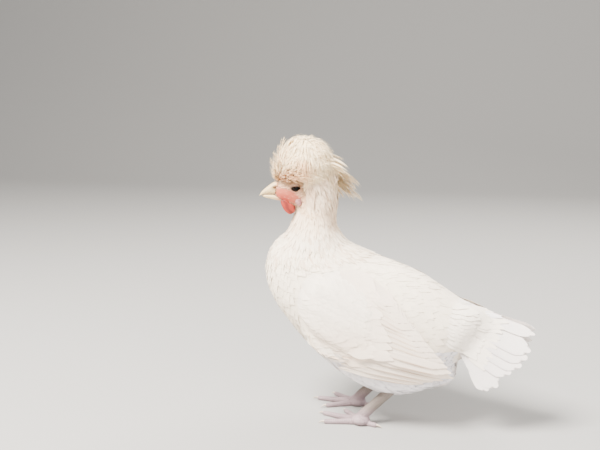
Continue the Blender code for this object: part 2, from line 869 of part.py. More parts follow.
def crest_place(sweep, turn, distance):
    """The point at a distance from the crest's centre, in the direction of a sweep and a turn."""
    level = -math.cos(sweep)
    rise = math.sin(sweep) * math.cos(turn) - CREST_DROOP * level * level
    aim = Vector((math.sin(sweep) * math.sin(turn), level, rise)).normalized()
    return vec(*CREST_CENTRE) + aim * (distance * MM)


def crest_lock(sweep, turn, reach, middle, width, draw):
    """One flat, bending, tapering lock that lies back along the dome, its upper edge tucked in."""
    behind = ramp(sweep, math.pi / 2, math.pi)
    length = math.radians(mix(*CREST_LENGTH, behind))
    root = crest_place(sweep - length, turn, CREST_ROOT)
    control = crest_place(sweep - length / 2, turn, reach * middle)
    tip = crest_place(sweep, turn, reach)
    spin = math.copysign(CREST_SPIN[0], turn) + CREST_SPIN[1] * draw.uniform(-1, 1)
    stations = []
    for t, share in zip(CREST_PLACES, CREST_WIDTHS):
        here = root * (1 - t) ** 2 + control * (2 * t * (1 - t)) + tip * (t * t)
        ahead = ((control - root) * (1 - t) + (tip - control) * t).normalized()
        outward = (here - vec(*CREST_CENTRE)).normalized()
        across = Matrix.Rotation(spin, 3, ahead) @ ahead.cross(outward).normalized()
        normal = across.cross(ahead)
        stations.append((here, across, normal, width / 2 * share, mix(*CREST_DEPTH, t)))
    return blade(stations, tip)


def crest_locks():
    """Common locks spread evenly over the dome, and long thin wisps behind."""
    draw = random.Random(CREST_SEED)
    golden = (math.sqrt(5) - 1) / 2
    found = []
    for k in range(CREST_LOCKS):
        first, last = (math.cos(math.radians(angle)) for angle in CREST_SWEEP)
        sweep = math.acos(mix(first, last, (k + 0.5) / CREST_LOCKS))
        behind = ramp(sweep, math.pi / 2, math.pi)
        turn = math.radians(mix(*CREST_TURN, behind)) * mix(-1, 1, math.fmod(k * golden, 1))
        sweep += math.radians(CREST_JITTER) * draw.uniform(-1, 1)
        turn += math.radians(CREST_JITTER) * draw.uniform(-1, 1)
        reach = mix(*CREST_REACH, max(math.cos(turn), 0)) + CREST_REAR_REACH * behind
        width = CREST_WIDTH[0] * draw.uniform(0.88, 1.12)
        reach *= draw.uniform(0.96, 1.04)
        found.append(crest_lock(sweep, turn, reach, CREST_MIDDLE[0], width, draw))
    for k in range(CREST_WISPS):
        share = (k + 0.5) / CREST_WISPS
        sweep = math.radians(mix(*CREST_WISP_SWEEP, share))
        turn = math.radians(CREST_WISP_TURN) * mix(-1, 1, math.fmod(k * golden, 1))
        reach = mix(*CREST_WISP_REACH, share) * draw.uniform(0.88, 1)
        found.append(crest_lock(sweep, turn, reach, CREST_MIDDLE[1], CREST_WIDTH[1], draw))
    return found


def build_crest(around):
    """The crest: locks that rise from a core on the crown and lie back over one another."""
    core = ellipsoid(CREST_CENTRE, CREST_CORE_RADII, 14, 8)
    rear = ellipsoid(CREST_CORE_REAR, CREST_CORE_REAR_RADII, 12, 8)
    pieces = [turned_head(made) for made in (core, rear, *crest_locks())]
    crest = joined("crest", pieces, "crest", 1, around)
    clear = ellipsoid(EYE_CLEAR, EYE_CLEAR_RADII, 14, 10)
    carve(crest, [*sides_of(clear)])
    return crest


def rest_on_origin():
    """Sets everything under one empty, with the middle of the box's floor at the origin."""
    pieces = list(bpy.data.collections["chicken"].objects)
    corners = [v.co for piece in pieces for v in piece.data.vertices]
    low = [min(c[k] for c in corners) for k in range(3)]
    high = [max(c[k] for c in corners) for k in range(3)]
    root = bpy.data.objects.new("chicken_root", None)
    bpy.data.collections["chicken"].objects.link(root)
    root.location = (-(low[0] + high[0]) / 2, -(low[1] + high[1]) / 2, -low[2])
    for piece in pieces:
        piece.parent = root


def main():
    clear_scene()
    group = bpy.data.collections.new("chicken")
    bpy.context.scene.collection.children.link(group)
    trunk = add_object("torso", to_mesh(trunk_mesh(), "torso"))
    head = build_head()
    bill = build_bill(head)
    face = build_face(head, bill)
    neck = add_object("neck", to_mesh(neck_mesh(), "neck"))
    carve(neck, [grown(other, GAP) for other in (trunk, head, *face)])
    for name, side, step, turn in LEGS:
        thigh = build_thigh(name, side, trunk)
        build_leg(name, side, step, turn, trunk, thigh)
        build_wing(name, side, trunk, thigh)
        build_tail(name, side, trunk)
    build_crest([head, neck])
    rest_on_origin()


main()
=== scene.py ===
"""The looks of a white crested chicken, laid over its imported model.

One skin takes the place of the flesh. Feathers are rooted on it and lie along the body, and the
crest, the folded wings and the tail have feathers of their own. Lengths below are millimetres in
the model's own frame, in which the bird faces -Y and its left side is +X.
"""

import math

import bmesh
import bpy
import numpy as np
from mathutils import Matrix, Vector
from mathutils.bvhtree import BVHTree


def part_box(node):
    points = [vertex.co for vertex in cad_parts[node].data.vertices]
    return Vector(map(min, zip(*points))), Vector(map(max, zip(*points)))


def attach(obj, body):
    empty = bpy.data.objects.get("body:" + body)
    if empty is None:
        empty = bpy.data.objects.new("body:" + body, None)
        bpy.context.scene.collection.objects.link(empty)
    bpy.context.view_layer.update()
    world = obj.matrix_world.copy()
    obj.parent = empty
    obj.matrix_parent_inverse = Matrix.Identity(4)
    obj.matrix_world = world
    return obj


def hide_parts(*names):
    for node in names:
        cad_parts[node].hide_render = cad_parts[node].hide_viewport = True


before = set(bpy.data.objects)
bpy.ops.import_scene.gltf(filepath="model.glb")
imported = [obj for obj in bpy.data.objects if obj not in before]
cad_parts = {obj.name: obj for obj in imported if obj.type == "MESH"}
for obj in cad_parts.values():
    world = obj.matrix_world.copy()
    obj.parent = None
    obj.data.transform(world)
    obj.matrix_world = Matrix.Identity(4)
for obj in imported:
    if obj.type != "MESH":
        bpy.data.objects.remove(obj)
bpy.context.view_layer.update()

MM = 0.001
MIRROR = (-1, 1, 1)
SIDE_ON = (0, 1, 1)  # leaves out how far a place is to the left or right
BREAST_Y = -129  # the breast's foremost point, which ties the millimetres to the frame
HOME = np.array((0.0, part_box("torso")[0].y - BREAST_Y * MM, 0.0))

CAMERA_PLACE = (963.9, 169.5, 389.0)
CAMERA_BEARING = math.radians(105)
CAMERA_PITCH = math.radians(8.9)
CAMERA_LENS = 50
CAMERA_SENSOR = 36

# The studio, in metres. Each lamp has a name, a place, a size, a power and a colour
FLOOR_HALF = 4
FLOOR_CURVE = 1.6
FLOOR_GREY = (0.36, 0.353, 0.345)
WORLD_COLOUR = (1.0, 0.985, 0.965)
WORLD_STRENGTH = 0.8
LAMP_AIM = Vector((0, 0, 0.15))
LAMPS = [
    ("key", (1.0, -0.8, 1.9), 0.9, 290, (1.0, 0.955, 0.88)),
    ("fill", (1.5, 1.2, 0.7), 1.6, 40, (1.0, 0.97, 0.94)),
    ("bounce", (0.9, -0.9, 0.12), 0.7, 8, (1.0, 0.78, 0.58)),
    ("back", (-1.3, 0.5, 1.6), 1.2, 50, (1.0, 0.96, 0.90)),
]

# The head turns about this upright axis. Places on it are given as if it faced straight ahead
HEAD_AXIS = np.array((0, -72, 0))
HEAD_TURN = math.radians(20)
EYE = (11.2, -95.0, 280.5)
EYE_RADIUS = 6.6
EYE_BULGE = 0.35
LID_OPENING = (18.4, -94.4, 279.0)
LID_SPAN = (5.8, 3.5)
LID_THICKNESS = 0.75
LID_BREADTH = 2.6  # how many times broader than thick a lid is
EYE_GAP = ((14, -94.9, 279.4), (12, 7.0, 4.9))  # no feather grows here
BARE_FACE = (-104, 270.5)  # the bare red skin's centre (y, z), from the gape to below the eye
BARE_SPAN = (15.5, 7.4)  # half its length and height
BARE_FALL = 0.42  # how steeply it drops towards the lobe

# Places that fade out: centre, radii, and the shares of the radii where the fading starts and ends
NAPE_HOLLOW = ((0, -40, 238), (44, 16, 20), 0.2, 1.0)
EYE_SOCKET = (*EYE_GAP, 0.8, 1.5)
# painted shade above the eye, under the crest's overhang
BROW_SHADE = ((0, -93, 287), (1, 14, 10), 0.4, 1.4)
EAR_TAN = ((0, -80, 267), (1, 9, 12), 0.3, 1.4)
HACKLE_TAN = ((0, -77, 264), (1, 10, 15), 0.3, 1.4)
# painted shade on the crest's low locks above the eye
CREST_PEACH_SHADE = ((0, -97, 290), (1, 21, 15), 0.4, 1.5)
NOSTRIL_KNOB = ((3.4, -116.8, 284.0), (5, 4.5, 3.2), 0.2, 1.2)
NOSTRIL_PIT = ((6.4, -118.6, 279.8), (3, 2.8, 1.3), 0.4, 1.3)
# painted shade in the nostril's groove
NOSTRIL_SHADE = ((6.0, -118.5, 280), (4, 5, 3), 0.3, 1.6)

# The skin lies inside the solids by the depth of the coat over it
FLESH = ("torso", "neck", "head", "thigh_left", "thigh_right")
HEAD_FLESH = [((0, -85, 308), (29, 30, 27)), ((0, -64, 293), (20, 18, 16)), ((0, -100, 298), (17, 18.5, 13))]
RUMP_FLESH = [((0, 118, 124), (15, 26, 20)), ((0, 100, 95), (22, 16, 16)), ((0, 82, 67), (28, 21, 20.5))]
ARM_FLESH = ((50, -28, 132), (9, 48, 50))
ARM_DEPTH = 4.5  # how far below the wing's sheet the arm's edge lies
ARM_RISE = 4.0  # and how far its middle rises from there
ARM_SINK = 6  # how far its inner half is pushed into the trunk
SKIN_VOXEL = 1.8
SKIN_JOIN = 0.7  # how far the parts are grown so that they fuse
COAT_DEPTH = 2.4
HEAD_DEPTH = 0.9
NAPE_DEPTH = 3.0  # on top of the coat's depth
SOCKET_DEPTH = 0.9

# Legs: name, side, the leg's shift along Y and how many degrees its foot turns inward
LEGS = [("left", 1, 0, 19), ("right", -1, -16, -6)]
FOOT_JOINT = (30, -6, 9)
SHANK_TOP = (29, 44, 60)
TOES = {"middle": (0, 46), "inner": (33, 34), "outer": (-32, 37), "hallux": (177, 15)}  # heading, length
LEG_VOXEL = 0.7
LEG_JOIN = 0.35
SCUTE_LENGTH = 2.6

# The crest: a lock's sweep runs from the forehead over the top to the nape, in degrees, and its
# turn to either side of the middle plane
CREST_CENTRE = np.array((0, -85, 303))
CREST_SPAN = (33, 38, 36)
CREST_SWEEP = (8, 176)
CREST_TURN = (110, 152)  # the furthest turn, over the front and over the nape
BROW_SWEEP = (2, 46)
CREST_RIM = 27  # reach of the crest's lower rim, where it meets the neck
EYE_CLEAR = ((17, -97, 281), (11, 11, 7.5))
CREST_DROOP = 0.42
CREST_REACH = (37.5, 39.5)  # at the sides and on top
CREST_REAR_REACH = 2  # more than that at the nape
CREST_NOTCHES = [(37, 3, 0.07), (46.5, 4, 0.18), (69, 4, 0.05)]  # sweep, breadth and share of the reach
CREST_ROOT = 19  # reach of the locks' roots
CREST_LENGTH = (50, 36)  # of a lock, in degrees of sweep, at the front and at the nape
LOCK_STATIONS = 7
CREST_LAYERS = [  # count, sweeps, then the ranges of the reach's share, length's share and half width
    (1300, CREST_SWEEP, (0.74, 0.92), (0.6, 1.0), (3.2, 4.8)),
    (2050, CREST_SWEEP, (0.90, 0.99), (0.5, 0.9), (1.3, 2.4)),
    (260, CREST_SWEEP, (0.98, 1.06), (0.5, 0.9), (0.6, 1.2)),
    (520, BROW_SWEEP, (0.82, 0.96), (0.3, 0.5), (1.4, 2.4)),
]
FALL_TURN = (68, 180)  # where the hanging locks start, in degrees from the front
FALL_REACH = 38.5
FALL_END = (64, 96)  # furthest a hanging lock's tip is from the crown, by the eye and behind it
FALL_DRAW = (0.58, -0.1)  # how far hanging locks draw in below the dome, at the sides and the nape
FALL_LAYERS = [  # count, and the ranges of the reach's share and half width
    (900, (0.86, 0.97), (2.0, 3.4)),
    (1500, (0.95, 1.03), (1.0, 1.9)),
    (160, (1.02, 1.12), (0.5, 1.0)),
]
SPIKES = 30
SPIKE_SWEEP = (14, 125)
SPIKE_TURN = 62
SPIKE_REACH = (38.5, 42)
SPIKE_OUTLINE = [  # bunches that show on the crest's outline: sweep, turn and reach
    (21, 4, 39), (33, -5, 41.5), (41, 6, 41), (51, 2, 41), (61, -7, 43.5), (72, 10, 41), (83, -4, 40.5),
    (96, 6, 40), (109, -8, 41.5), (127, 3, 41), (143, -6, 43),
]
WISPS = 46
WISP_SWEEP = (128, 206)
WISP_SPREAD = 28.8
WISP_REACH = (42, 62)
WISP_OUTLINE = [
    (151, 6, 51), (157, -14, 55), (163, 12, 52), (169, -4, 60), (173, 16, 68), (176, -10, 76), (180, 6, 73),
    (184, -20, 68), (189, 3, 87), (193, -8, 79), (199, 12, 67), (204, -5, 61), (146, -20, 46),
]

# The folded wing's sheet: how far it stands off the trunk, and its own shell further back, which
# bends off a middle at (y, z). Then the small coverts on it, and the ground that they cover
WING_STAND = 4.4
WING_SHELL = (62.5, 0.0013, 0.0035, -5, 100)
SIDE_REACH = 150
LESSER_SPACING = 4.2
LESSER_ANGLE = 25
LESSER_LENGTH = (21, 27)
LESSER_RISE = np.array((-1.6, -0.8, 0.0, 0.3, 0.5))  # off the sheet at each station
LESSER_SUNK = -5.0  # how deep they lie where the body's coat takes over
WING_GROUND = [
    (-78, 158), (-66, 178), (-38, 186), (-8, 180), (12, 167), (21, 148), (22, 128),
    (20, 104), (10, 92), (-10, 95), (-36, 102), (-58, 113), (-73, 134),
]

# The tail's roof: the ridge's start, height and slope, then its half width, rise, reach and splay
TAIL_RIDGE = (100, 152, 0.33)
TAIL_ROOF = (0.9, 14, 16, 0.2)
TAIL_STAND = 1.6
TAIL_FREE = 116  # ahead of this the tail's coverts lie close on the rump
TAIL_PIVOT = (110, 130)
TAIL_TURN = math.radians(1.5)
SADDLE_FEATHERS = 34
SADDLE_START = (78, 124)
SADDLE_LENGTH = (24, 34)
SADDLE_HALF = 4.5

# Tiers: count, then for the lowest and the highest feather its tip (y, z), degrees below level,
# length, width and stand off the sheet, and then the tier's tilt
PRIMARIES = (4, ((70, 61), 7, 100, 12, -5.0), ((104, 70), 12, 124, 14, -1.8), 0.2)
LOW_SECONDARIES = (2, ((101, 78), 12, 92, 16, 0.4), ((96, 84), 14, 90, 16, 0.4), 0.2)
SECONDARIES = (11, ((92, 90), 15, 88, 16, 0), ((36, 153), 34, 52, 18, 0.4), 0.07)
WING_COVERTS = [
    (22, ((36, 93), 13, 46, 17, 0.8), ((16, 167), 30, 38, 18, 1.0), 0.05),
    (22, ((16, 95), 14, 40, 17, 1.2), ((4, 171), 29, 34, 18, 1.4), 0.05),
]
TAIL_COVERTS = [
    (11, ((136, 78), 60, 48, 18, 1.0), ((160, 128), 18, 56, 18, 1.0), 0.06),
    (11, ((126, 88), 57, 40, 18, 1.8), ((144, 135), 19, 46, 18, 1.8), 0.06),
    (11, ((117, 96), 54, 32, 17, 2.4), ((128, 140), 20, 38, 17, 2.4), 0.06),
    (13, ((109, 100), 50, 28, 13, 2.8), ((114, 144), 24, 32, 13, 2.8), 0.06),
]
TAIL_FLIGHT = [  # root, tip and width
    ((110, 148), (191, 120), 16),
    ((110, 137), (187, 103), 23),
    ((109, 131), (184, 95), 26),
    ((108, 125), (178, 86), 26),
    ((107, 118), (167, 77.5), 26),
    ((106, 111), (153.5, 61.5), 25),
    ((118, 101), (143, 56.5), 21),
]

# Outlines of a vane: how far along, and its share of the half width
ROUND = [(0, 0.3), (0.2, 0.62), (0.5, 0.95), (0.72, 1.0), (0.88, 0.86), (1, 0.42)]
LONG = [(0, 0.16), (0.12, 0.5), (0.4, 0.9), (0.7, 1.0), (0.88, 0.86), (0.96, 0.6), (1, 0.3)]
BROAD = [(0, 0.25), (0.25, 0.7), (0.6, 0.98), (0.86, 1.0), (0.95, 0.92), (0.985, 0.76), (1, 0.56)]
POINTED = [(0, 0.35), (0.3, 1.0), (0.6, 0.8), (0.85, 0.42), (1, 0.08)]
WISPY = [(0, 0.3), (0.3, 0.8), (0.6, 1.0), (0.85, 0.72), (1, 0.1)]

# Forms of a vane: columns, rows, outline, then its shaft, fringe, rounding, cup and body
CONTOUR_FORM = (4, 4, ROUND, 0.03, 0.02, 0.30, 0.05, 0.02)
THIGH_FORM = (2, 5, LONG, 0.06, 0.1, 0.14, 0.04, 0.03)
HACKLE_FORM = (2, 4, POINTED, 0.06, 0.0, 0.1, 0.06, 0.04)
FACE_FORM = (2, 3, POINTED, 0.0, 0.0, 0.1, 0.1, 0.05)
LOCK_FORM = (2, 6, POINTED, 0.0, 0.0, 0.12, 0.12, 0.05)
WISP_FORM = (2, 6, WISPY, 0.0, 0.0, 0.1, 0.08, 0.08)
WING_FORM = (8, 12, LONG, 0.12, 0.0, 0.06, 0.04, 0.03)
TAIL_FORM = (8, 12, BROAD, 0.1, 0.0, 0.1, 0.04, 0.03)
COVERT_FORM = (6, 5, ROUND, 0.03, 0.0, 0.18, 0.05, 0.02)
SADDLE_FORM = (6, 6, ROUND, 0.03, 0.0, 0.25, 0.5, 0.02)
VANE_PATCH = 0.003  # a feather's breadth on the OFBake map
FLIGHT_PATCH = 0.01
STATIONS = 5  # points on the centre line of a short feather
FLIGHT_STATIONS = 9
SIZE_RANGE = (0.88, 1.12)
TINT_RANGE = (0.95, 1.03)
WING_TINT_RANGE = (0.97, 1.02)

# Colours
COAT_WHITE = (0.95, 0.835, 0.68)
COAT_WARM = (0.92, 0.68, 0.45)
COAT_COOL = (0.91, 0.86, 0.865)
THIGH_COOL = np.array((0.90, 0.865, 0.885))
HACKLE_BROWN = (0.62, 0.41, 0.26)
FACE_CREAM = (0.86, 0.63, 0.41)
# brown for the painted shade above the eye and for the tan behind it
FACE_BROWN = (0.48, 0.28, 0.14)
FACE_BLUSH = (0.76, 0.40, 0.26)
LOCK_CREAM = (0.99, 0.81, 0.53)
# the colour of the painted shade on the crest's locks above the eye
LOCK_PEACH_SHADE = (0.82, 0.48, 0.25)
WING_WHITE = (0.95, 0.85, 0.73)
# a warmer, darker white for painted shade on the lower part of the wing
WING_WARM_SHADE = (0.92, 0.74, 0.59)
FLIGHT_WHITE = (0.94, 0.80, 0.67)
TAIL_COOL = (0.90, 0.83, 0.79)
TAIL_WHITE = (0.93, 0.84, 0.73)
HEAD_PINK = (0.68, 0.38, 0.25)
BARE_RED = (0.53, 0.13, 0.072)
BARE_DEEP = (0.42, 0.045, 0.026)
# colours of painted shade lines along the lower edge of each thigh, wing and tail feather
THIGH_EDGE_SHADE = (0.74, 0.70, 0.74)
PRIMARY_EDGE_SHADE = (0.38, 0.24, 0.15)
SECONDARY_EDGE_SHADE = (0.78, 0.66, 0.55)
TAIL_EDGE_SHADE = (0.74, 0.72, 0.78)
LID_DARK = (0.035, 0.018, 0.012)
LID_BROWN = (0.60, 0.37, 0.24)
BILL_IVORY = (0.70, 0.52, 0.27)
# brown for the painted shade in the nostril's groove
BILL_BROWN = (0.20, 0.10, 0.04)
BILL_PINK = (0.58, 0.17, 0.10)
# each pair: the darker colour is painted shade in the folds' troughs, the other the skin's own colour
WATTLE_REDS = ((0.18, 0.012, 0.008), (0.33, 0.027, 0.013))
LOBE_PINKS = ((0.34, 0.14, 0.14), (0.45, 0.22, 0.21))

# How a tier's feathers lie: their bend, how far their roots sink below the sheet, and their colour
WING_LIE = (0.05, 3.5, FLIGHT_WHITE)
TAIL_LIE = (-0.05, 5.5, TAIL_COOL)
TAIL_COVERT_LIE = (-0.03, 4.0, TAIL_WHITE)


# Places and small sums

def place(points):
    """Model millimetres as the frame's metres."""
    return np.asarray(points, float) * MM + HOME


def unplace(points):
    """The frame's metres as model millimetres."""
    return (np.asarray(points, float) - HOME) / MM


def turned(points, way=1):
    """Points in millimetres turned with the head."""
    points = np.asarray(points, float)
    turn = HEAD_TURN * way
    x, y = points[..., 0] - HEAD_AXIS[0], points[..., 1] - HEAD_AXIS[1]
    found = points.copy()
    found[..., 0] = HEAD_AXIS[0] + x * math.cos(turn) - y * math.sin(turn)
    found[..., 1] = HEAD_AXIS[1] + x * math.sin(turn) + y * math.cos(turn)
    return found


def unturned(points):
    """Points by the turned head, as they are by one that faces straight ahead."""
    return turned(points, -1)


def faced(directions):
    """Directions turned with the head."""
    return turned(directions + HEAD_AXIS) - HEAD_AXIS


def both_sides(back):
    """The places of a head that faces ahead, with its right side laid over its left."""
    return back * np.where(back[..., :1] < 0, MIRROR, 1)


def ramp(value, low, high):
    """0 below low, 1 above high, and smooth between them."""
    t = np.clip((value - low) / (high - low), 0, 1)
    return t * t * (3 - 2 * t)


def mix(low, high, t):
    return low + (high - low) * t


def mix_rows(low, high, shares):
    """A row for each share, between a low and a high one."""
    return mix(np.array(low), np.array(high), shares[:, None])


def unit(vectors):
    length = np.linalg.norm(vectors, axis=-1, keepdims=True)
    return vectors / np.maximum(length, 1e-12)


def along_skin(ahead, normals):
    """Directions laid down on the skin."""
    return unit(ahead - normals * (ahead * normals).sum(1, keepdims=True))


def within(points, centre, radii):
    """Below 1 inside an ellipsoid."""
    return np.linalg.norm((points - np.array(centre)) / np.array(radii), axis=-1)


def fading(points, centre, radii, start, end):
    """1 in the middle of an ellipsoid, and 0 beyond the share of its radii where it ends."""
    return 1 - ramp(within(points, centre, radii), start, end)


def bare_reach(back):
    """Below 1 on the bare skin of a head that faces ahead."""
    y, z = back[..., 1] - BARE_FACE[0], back[..., 2] - BARE_FACE[1]
    along, across = y - z * BARE_FALL, z + y * BARE_FALL
    return np.hypot(along / BARE_SPAN[0], across / BARE_SPAN[1]) / math.hypot(1, BARE_FALL)


def smooth_line(first, middle, last, count):
    """Points along the curve through three, for each feather."""
    t = np.linspace(0, 1, count)[None, :, None]
    a, b, c = (point[:, None, :] for point in (first, middle, last))
    return a * (1 - t) * (1 - 2 * t) + b * 4 * t * (1 - t) + c * t * (2 * t - 1)


def drawn_line(first, control, last, count):
    """Points along the curve that a control point draws aside, for each feather."""
    t = np.linspace(0, 1, count)[None, :, None]
    a, b, c = (point[:, None, :] for point in (first, control, last))
    return a * (1 - t) ** 2 + b * 2 * t * (1 - t) + c * t * t


def read(items, name, wide, kind=float):
    """One property of all of a mesh's items, a row for each."""
    found = np.empty(len(items) * wide, kind)
    items.foreach_get(name, found)
    return found.reshape(-1, wide)


def keep(mesh, name, kind, domain, field, values):
    """Keeps a value for each of a mesh's items as an attribute."""
    mesh.attributes.new(name, kind, domain)
    mesh.attributes[name].data.foreach_set(field, values.ravel())


def set_tint(mesh, colours):
    """Keeps a colour for each point, which the materials read as tint."""
    found = np.ones((len(mesh.vertices), 4), np.float32)
    found[:, : colours.shape[1]] = colours
    keep(mesh, "tint", "FLOAT_COLOR", "POINT", "color", found)


# Materials

class Wire:
    """A shader socket that can stand in a sum."""

    def __init__(self, paint, socket):
        self.paint = paint
        self.socket = socket

    def sum(self, operation, *values):
        return self.paint.node("Math", 0, dict(enumerate(values)), operation=operation)

    def __add__(self, other):
        return self.sum("ADD", self, other)

    def __radd__(self, other):
        return self.sum("ADD", other, self)

    def __sub__(self, other):
        return self.sum("SUBTRACT", self, other)

    def __rsub__(self, other):
        return self.sum("SUBTRACT", other, self)

    def __mul__(self, other):
        return self.sum("MULTIPLY", self, other)

    def size(self):
        return self.sum("ABSOLUTE", self)

    def sine(self):
        return self.sum("SINE", self)

    def ramp(self, low, high):
        inputs = {0: self, 1: low, 2: high}
        return self.paint.node("MapRange", 0, inputs, interpolation_type="SMOOTHSTEP")


class Paint:
    """One material and the nodes that feed its Principled shader."""

    def __init__(self, name):
        self.material = bpy.data.materials.new(name)
        self.material.use_nodes = True
        self.tree = self.material.node_tree

    def node(self, kind, output, inputs=None, **settings):
        """One output of a new node, with its settings made and its inputs fed."""
        made = self.tree.nodes.new("ShaderNode" + kind)
        for name, value in settings.items():
            setattr(made, name, value)
        self.feed(made, inputs or {})
        return Wire(self, made.outputs[output])

    def feed(self, made, inputs):
        for name, value in inputs.items():
            if isinstance(value, Wire):
                self.tree.links.new(value.socket, made.inputs[name])
            else:
                made.inputs[name].default_value = value

    def finish(self, **inputs):
        """Feeds the shader. An underscore in a name stands for a space."""
        shader = self.tree.nodes["Principled BSDF"]
        self.feed(shader, {name.replace("_", " "): value for name, value in inputs.items()})
        return self.material

    def here(self):
        return self.node("TexCoord", "Object")

    def split(self, vector):
        made = self.node("SeparateXYZ", 0, {0: vector}).socket.node
        return [Wire(self, output) for output in made.outputs]

    def noise(self, scale, detail):
        return self.node("TexNoise", "Fac", {"Vector": self.here(), "Scale": scale, "Detail": detail})

    def cells(self, scale, feature="F1"):
        return self.node("TexVoronoi", 0, {"Vector": self.here(), "Scale": scale}, feature=feature)

    def blend(self, factor, first, second, kind="MIX"):
        inputs = {0: factor, 6: first, 7: second}
        return self.node("Mix", 2, inputs, data_type="RGBA", blend_type=kind, clamp_result=False)

    def bump(self, height, strength, distance):
        return self.node("Bump", 0, {"Height": height, "Strength": strength, "Distance": distance})

    def tinted(self, shade):
        """The piece's own tint, times a shade."""
        tint = self.node("Attribute", "Color", attribute_name="tint")
        grey = self.node("CombineXYZ", 0, dict.fromkeys(range(3), shade))
        return self.blend(1.0, tint, grey, "MULTIPLY")


def rgb(red, green, blue):
    return (red, green, blue, 1)


def feather_finish(name, barbs, relief, rough):
    """A feather's own tint, clouded a little, with barbs that slant off the shaft."""
    paint = Paint(name)
    across, along, _ = paint.split(paint.node("UVMap", "UV", uv_map="vane"))
    slant = (across - 0.5).size() * 2 * barbs * 0.16
    wave = ((along * barbs - slant) * 2 * math.pi).sine()
    return paint.finish(
        Base_Color=paint.tinted(0.965 + paint.noise(55, 2) * 0.05 + wave * 0.012),
        Roughness=rough,
        Normal=paint.bump(wave, relief, 0.0002),
        Specular_IOR_Level=0.25,
        Sheen_Weight=0.15,
        Sheen_Roughness=0.5,
    )


def skin_finish():
    """Pale under the coat, and red, grained and a little moist where the face is bare."""
    paint = Paint("skin")
    blotch = paint.noise(160, 4)
    grain = paint.cells(1500) + paint.noise(900, 3) * 0.5
    return paint.finish(
        Base_Color=paint.tinted(0.8 + blotch * 0.32),
        Roughness=0.38 + blotch * 0.25,
        Normal=paint.bump(grain, 0.55, 0.0004),
        Specular_IOR_Level=0.4,
    )


def comb_finish():
    """Wattles, lobes and lids: thick skin with a fine grain."""
    paint = Paint("comb")
    blotch = paint.noise(260, 4)
    return paint.finish(
        Base_Color=paint.tinted(0.72 + blotch * 0.5),
        Roughness=0.36 + blotch * 0.2,
        Normal=paint.bump(paint.cells(1700) + blotch * 0.6, 0.5, 0.0004),
        Specular_IOR_Level=0.4,
    )


def horn_finish():
    """The bill's horn, with faint growth lines over its own tint."""
    paint = Paint("bill")
    growth = paint.noise(420, 5)
    return paint.finish(
        Base_Color=paint.tinted(0.86 + paint.noise(120, 3) * 0.26),
        Roughness=0.28 + growth * 0.22,
        Normal=paint.bump(growth, 0.2, 0.0003),
    )


def claw_finish():
    paint = Paint("claw")
    growth = paint.noise(500, 5)
    streak = paint.noise(150, 3).ramp(0.3, 0.7)
    return paint.finish(
        Base_Color=paint.blend(streak, rgb(0.66, 0.56, 0.46), rgb(0.44, 0.35, 0.29)),
        Roughness=0.32 + growth * 0.2,
        Normal=paint.bump(growth, 0.2, 0.0003),
    )


def scale_finish():
    """Broad scutes across the front of the shank and toes, and small scales at the sides."""
    paint = Paint("scaled_skin")
    along, front, _ = paint.split(paint.node("Attribute", "Vector", attribute_name="scale_place"))
    warp = (paint.noise(180, 2) - 0.5) * 2.2
    scute = (along * (2 * math.pi / SCUTE_LENGTH) + warp).sine().ramp(-1.0, -0.55)
    edge = paint.cells(620, "DISTANCE_TO_EDGE").ramp(0.0, 0.12)
    broad = front.ramp(0.05, 0.4)
    height = scute * broad + edge * (1 - broad)
    tone = paint.noise(60, 4)
    _, _, rise = paint.split(paint.here())
    shank = rise.ramp(0.010, 0.026)
    pale = paint.blend(shank, rgb(0.36, 0.27, 0.29), rgb(0.20, 0.165, 0.145))
    dark = paint.blend(shank, rgb(0.24, 0.175, 0.19), rgb(0.13, 0.105, 0.09))
    return paint.finish(
        Base_Color=paint.blend(height, dark, paint.blend(tone.ramp(0.3, 0.7), dark, pale)),
        Roughness=0.42 + tone * 0.2,
        Normal=paint.bump(height, 0.5, 0.0005),
    )


def eye_finish(name, centre, axis):
    """A dark brown iris round a black pupil, by the angle off the eye's own axis."""
    paint = Paint(name)
    off = paint.node("VectorMath", 0, {0: paint.here(), 1: tuple(centre)}, operation="SUBTRACT")
    facing = paint.node("VectorMath", 0, {0: off}, operation="NORMALIZE")
    cosine = paint.node("VectorMath", "Value", {0: facing, 1: tuple(axis)}, operation="DOT_PRODUCT")
    fleck = paint.noise(1400, 4).ramp(0.35, 0.7)
    iris = paint.blend(fleck, rgb(0.005, 0.002, 0.001), rgb(0.014, 0.005, 0.002))
    colour = paint.blend(cosine.ramp(0.925, 0.945), iris, rgb(0.001, 0.001, 0.001))
    colour = paint.blend(cosine.ramp(0.76, 0.70), colour, rgb(0.006, 0.003, 0.002))
    return paint.finish(Base_Color=colour, Roughness=0.10, Specular_IOR_Level=0.10)


# Pieces

def linked(name, data):
    made = bpy.data.objects.new(name, data)
    bpy.context.scene.collection.objects.link(made)
    return made


def shown(name, mesh, material, slot, *nodes):
    """Adds a finished mesh as a piece that rides the body and stands for the named solids."""
    made = linked(name, mesh)
    mesh.materials.clear()
    mesh.materials.append(material)
    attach(made, "root")
    if nodes:
        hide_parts(*nodes)


def to_mesh(made, name):
    mesh = bpy.data.meshes.new(name)
    made.to_mesh(mesh)
    made.free()
    mesh.shade_smooth()
    return mesh


def modified(made, kind, **settings):
    """A bmesh after a modifier."""
    holder = linked("flesh", to_mesh(made, "flesh"))
    step = holder.modifiers.new("step", kind)
    for name, value in settings.items():
        setattr(step, name, value)
    graph = bpy.context.evaluated_depsgraph_get()
    mesh = bpy.data.meshes.new_from_object(holder.evaluated_get(graph))
    bpy.data.objects.remove(holder)
    found = bmesh.new()
    found.from_mesh(mesh)
    bpy.data.meshes.remove(mesh)
    return found


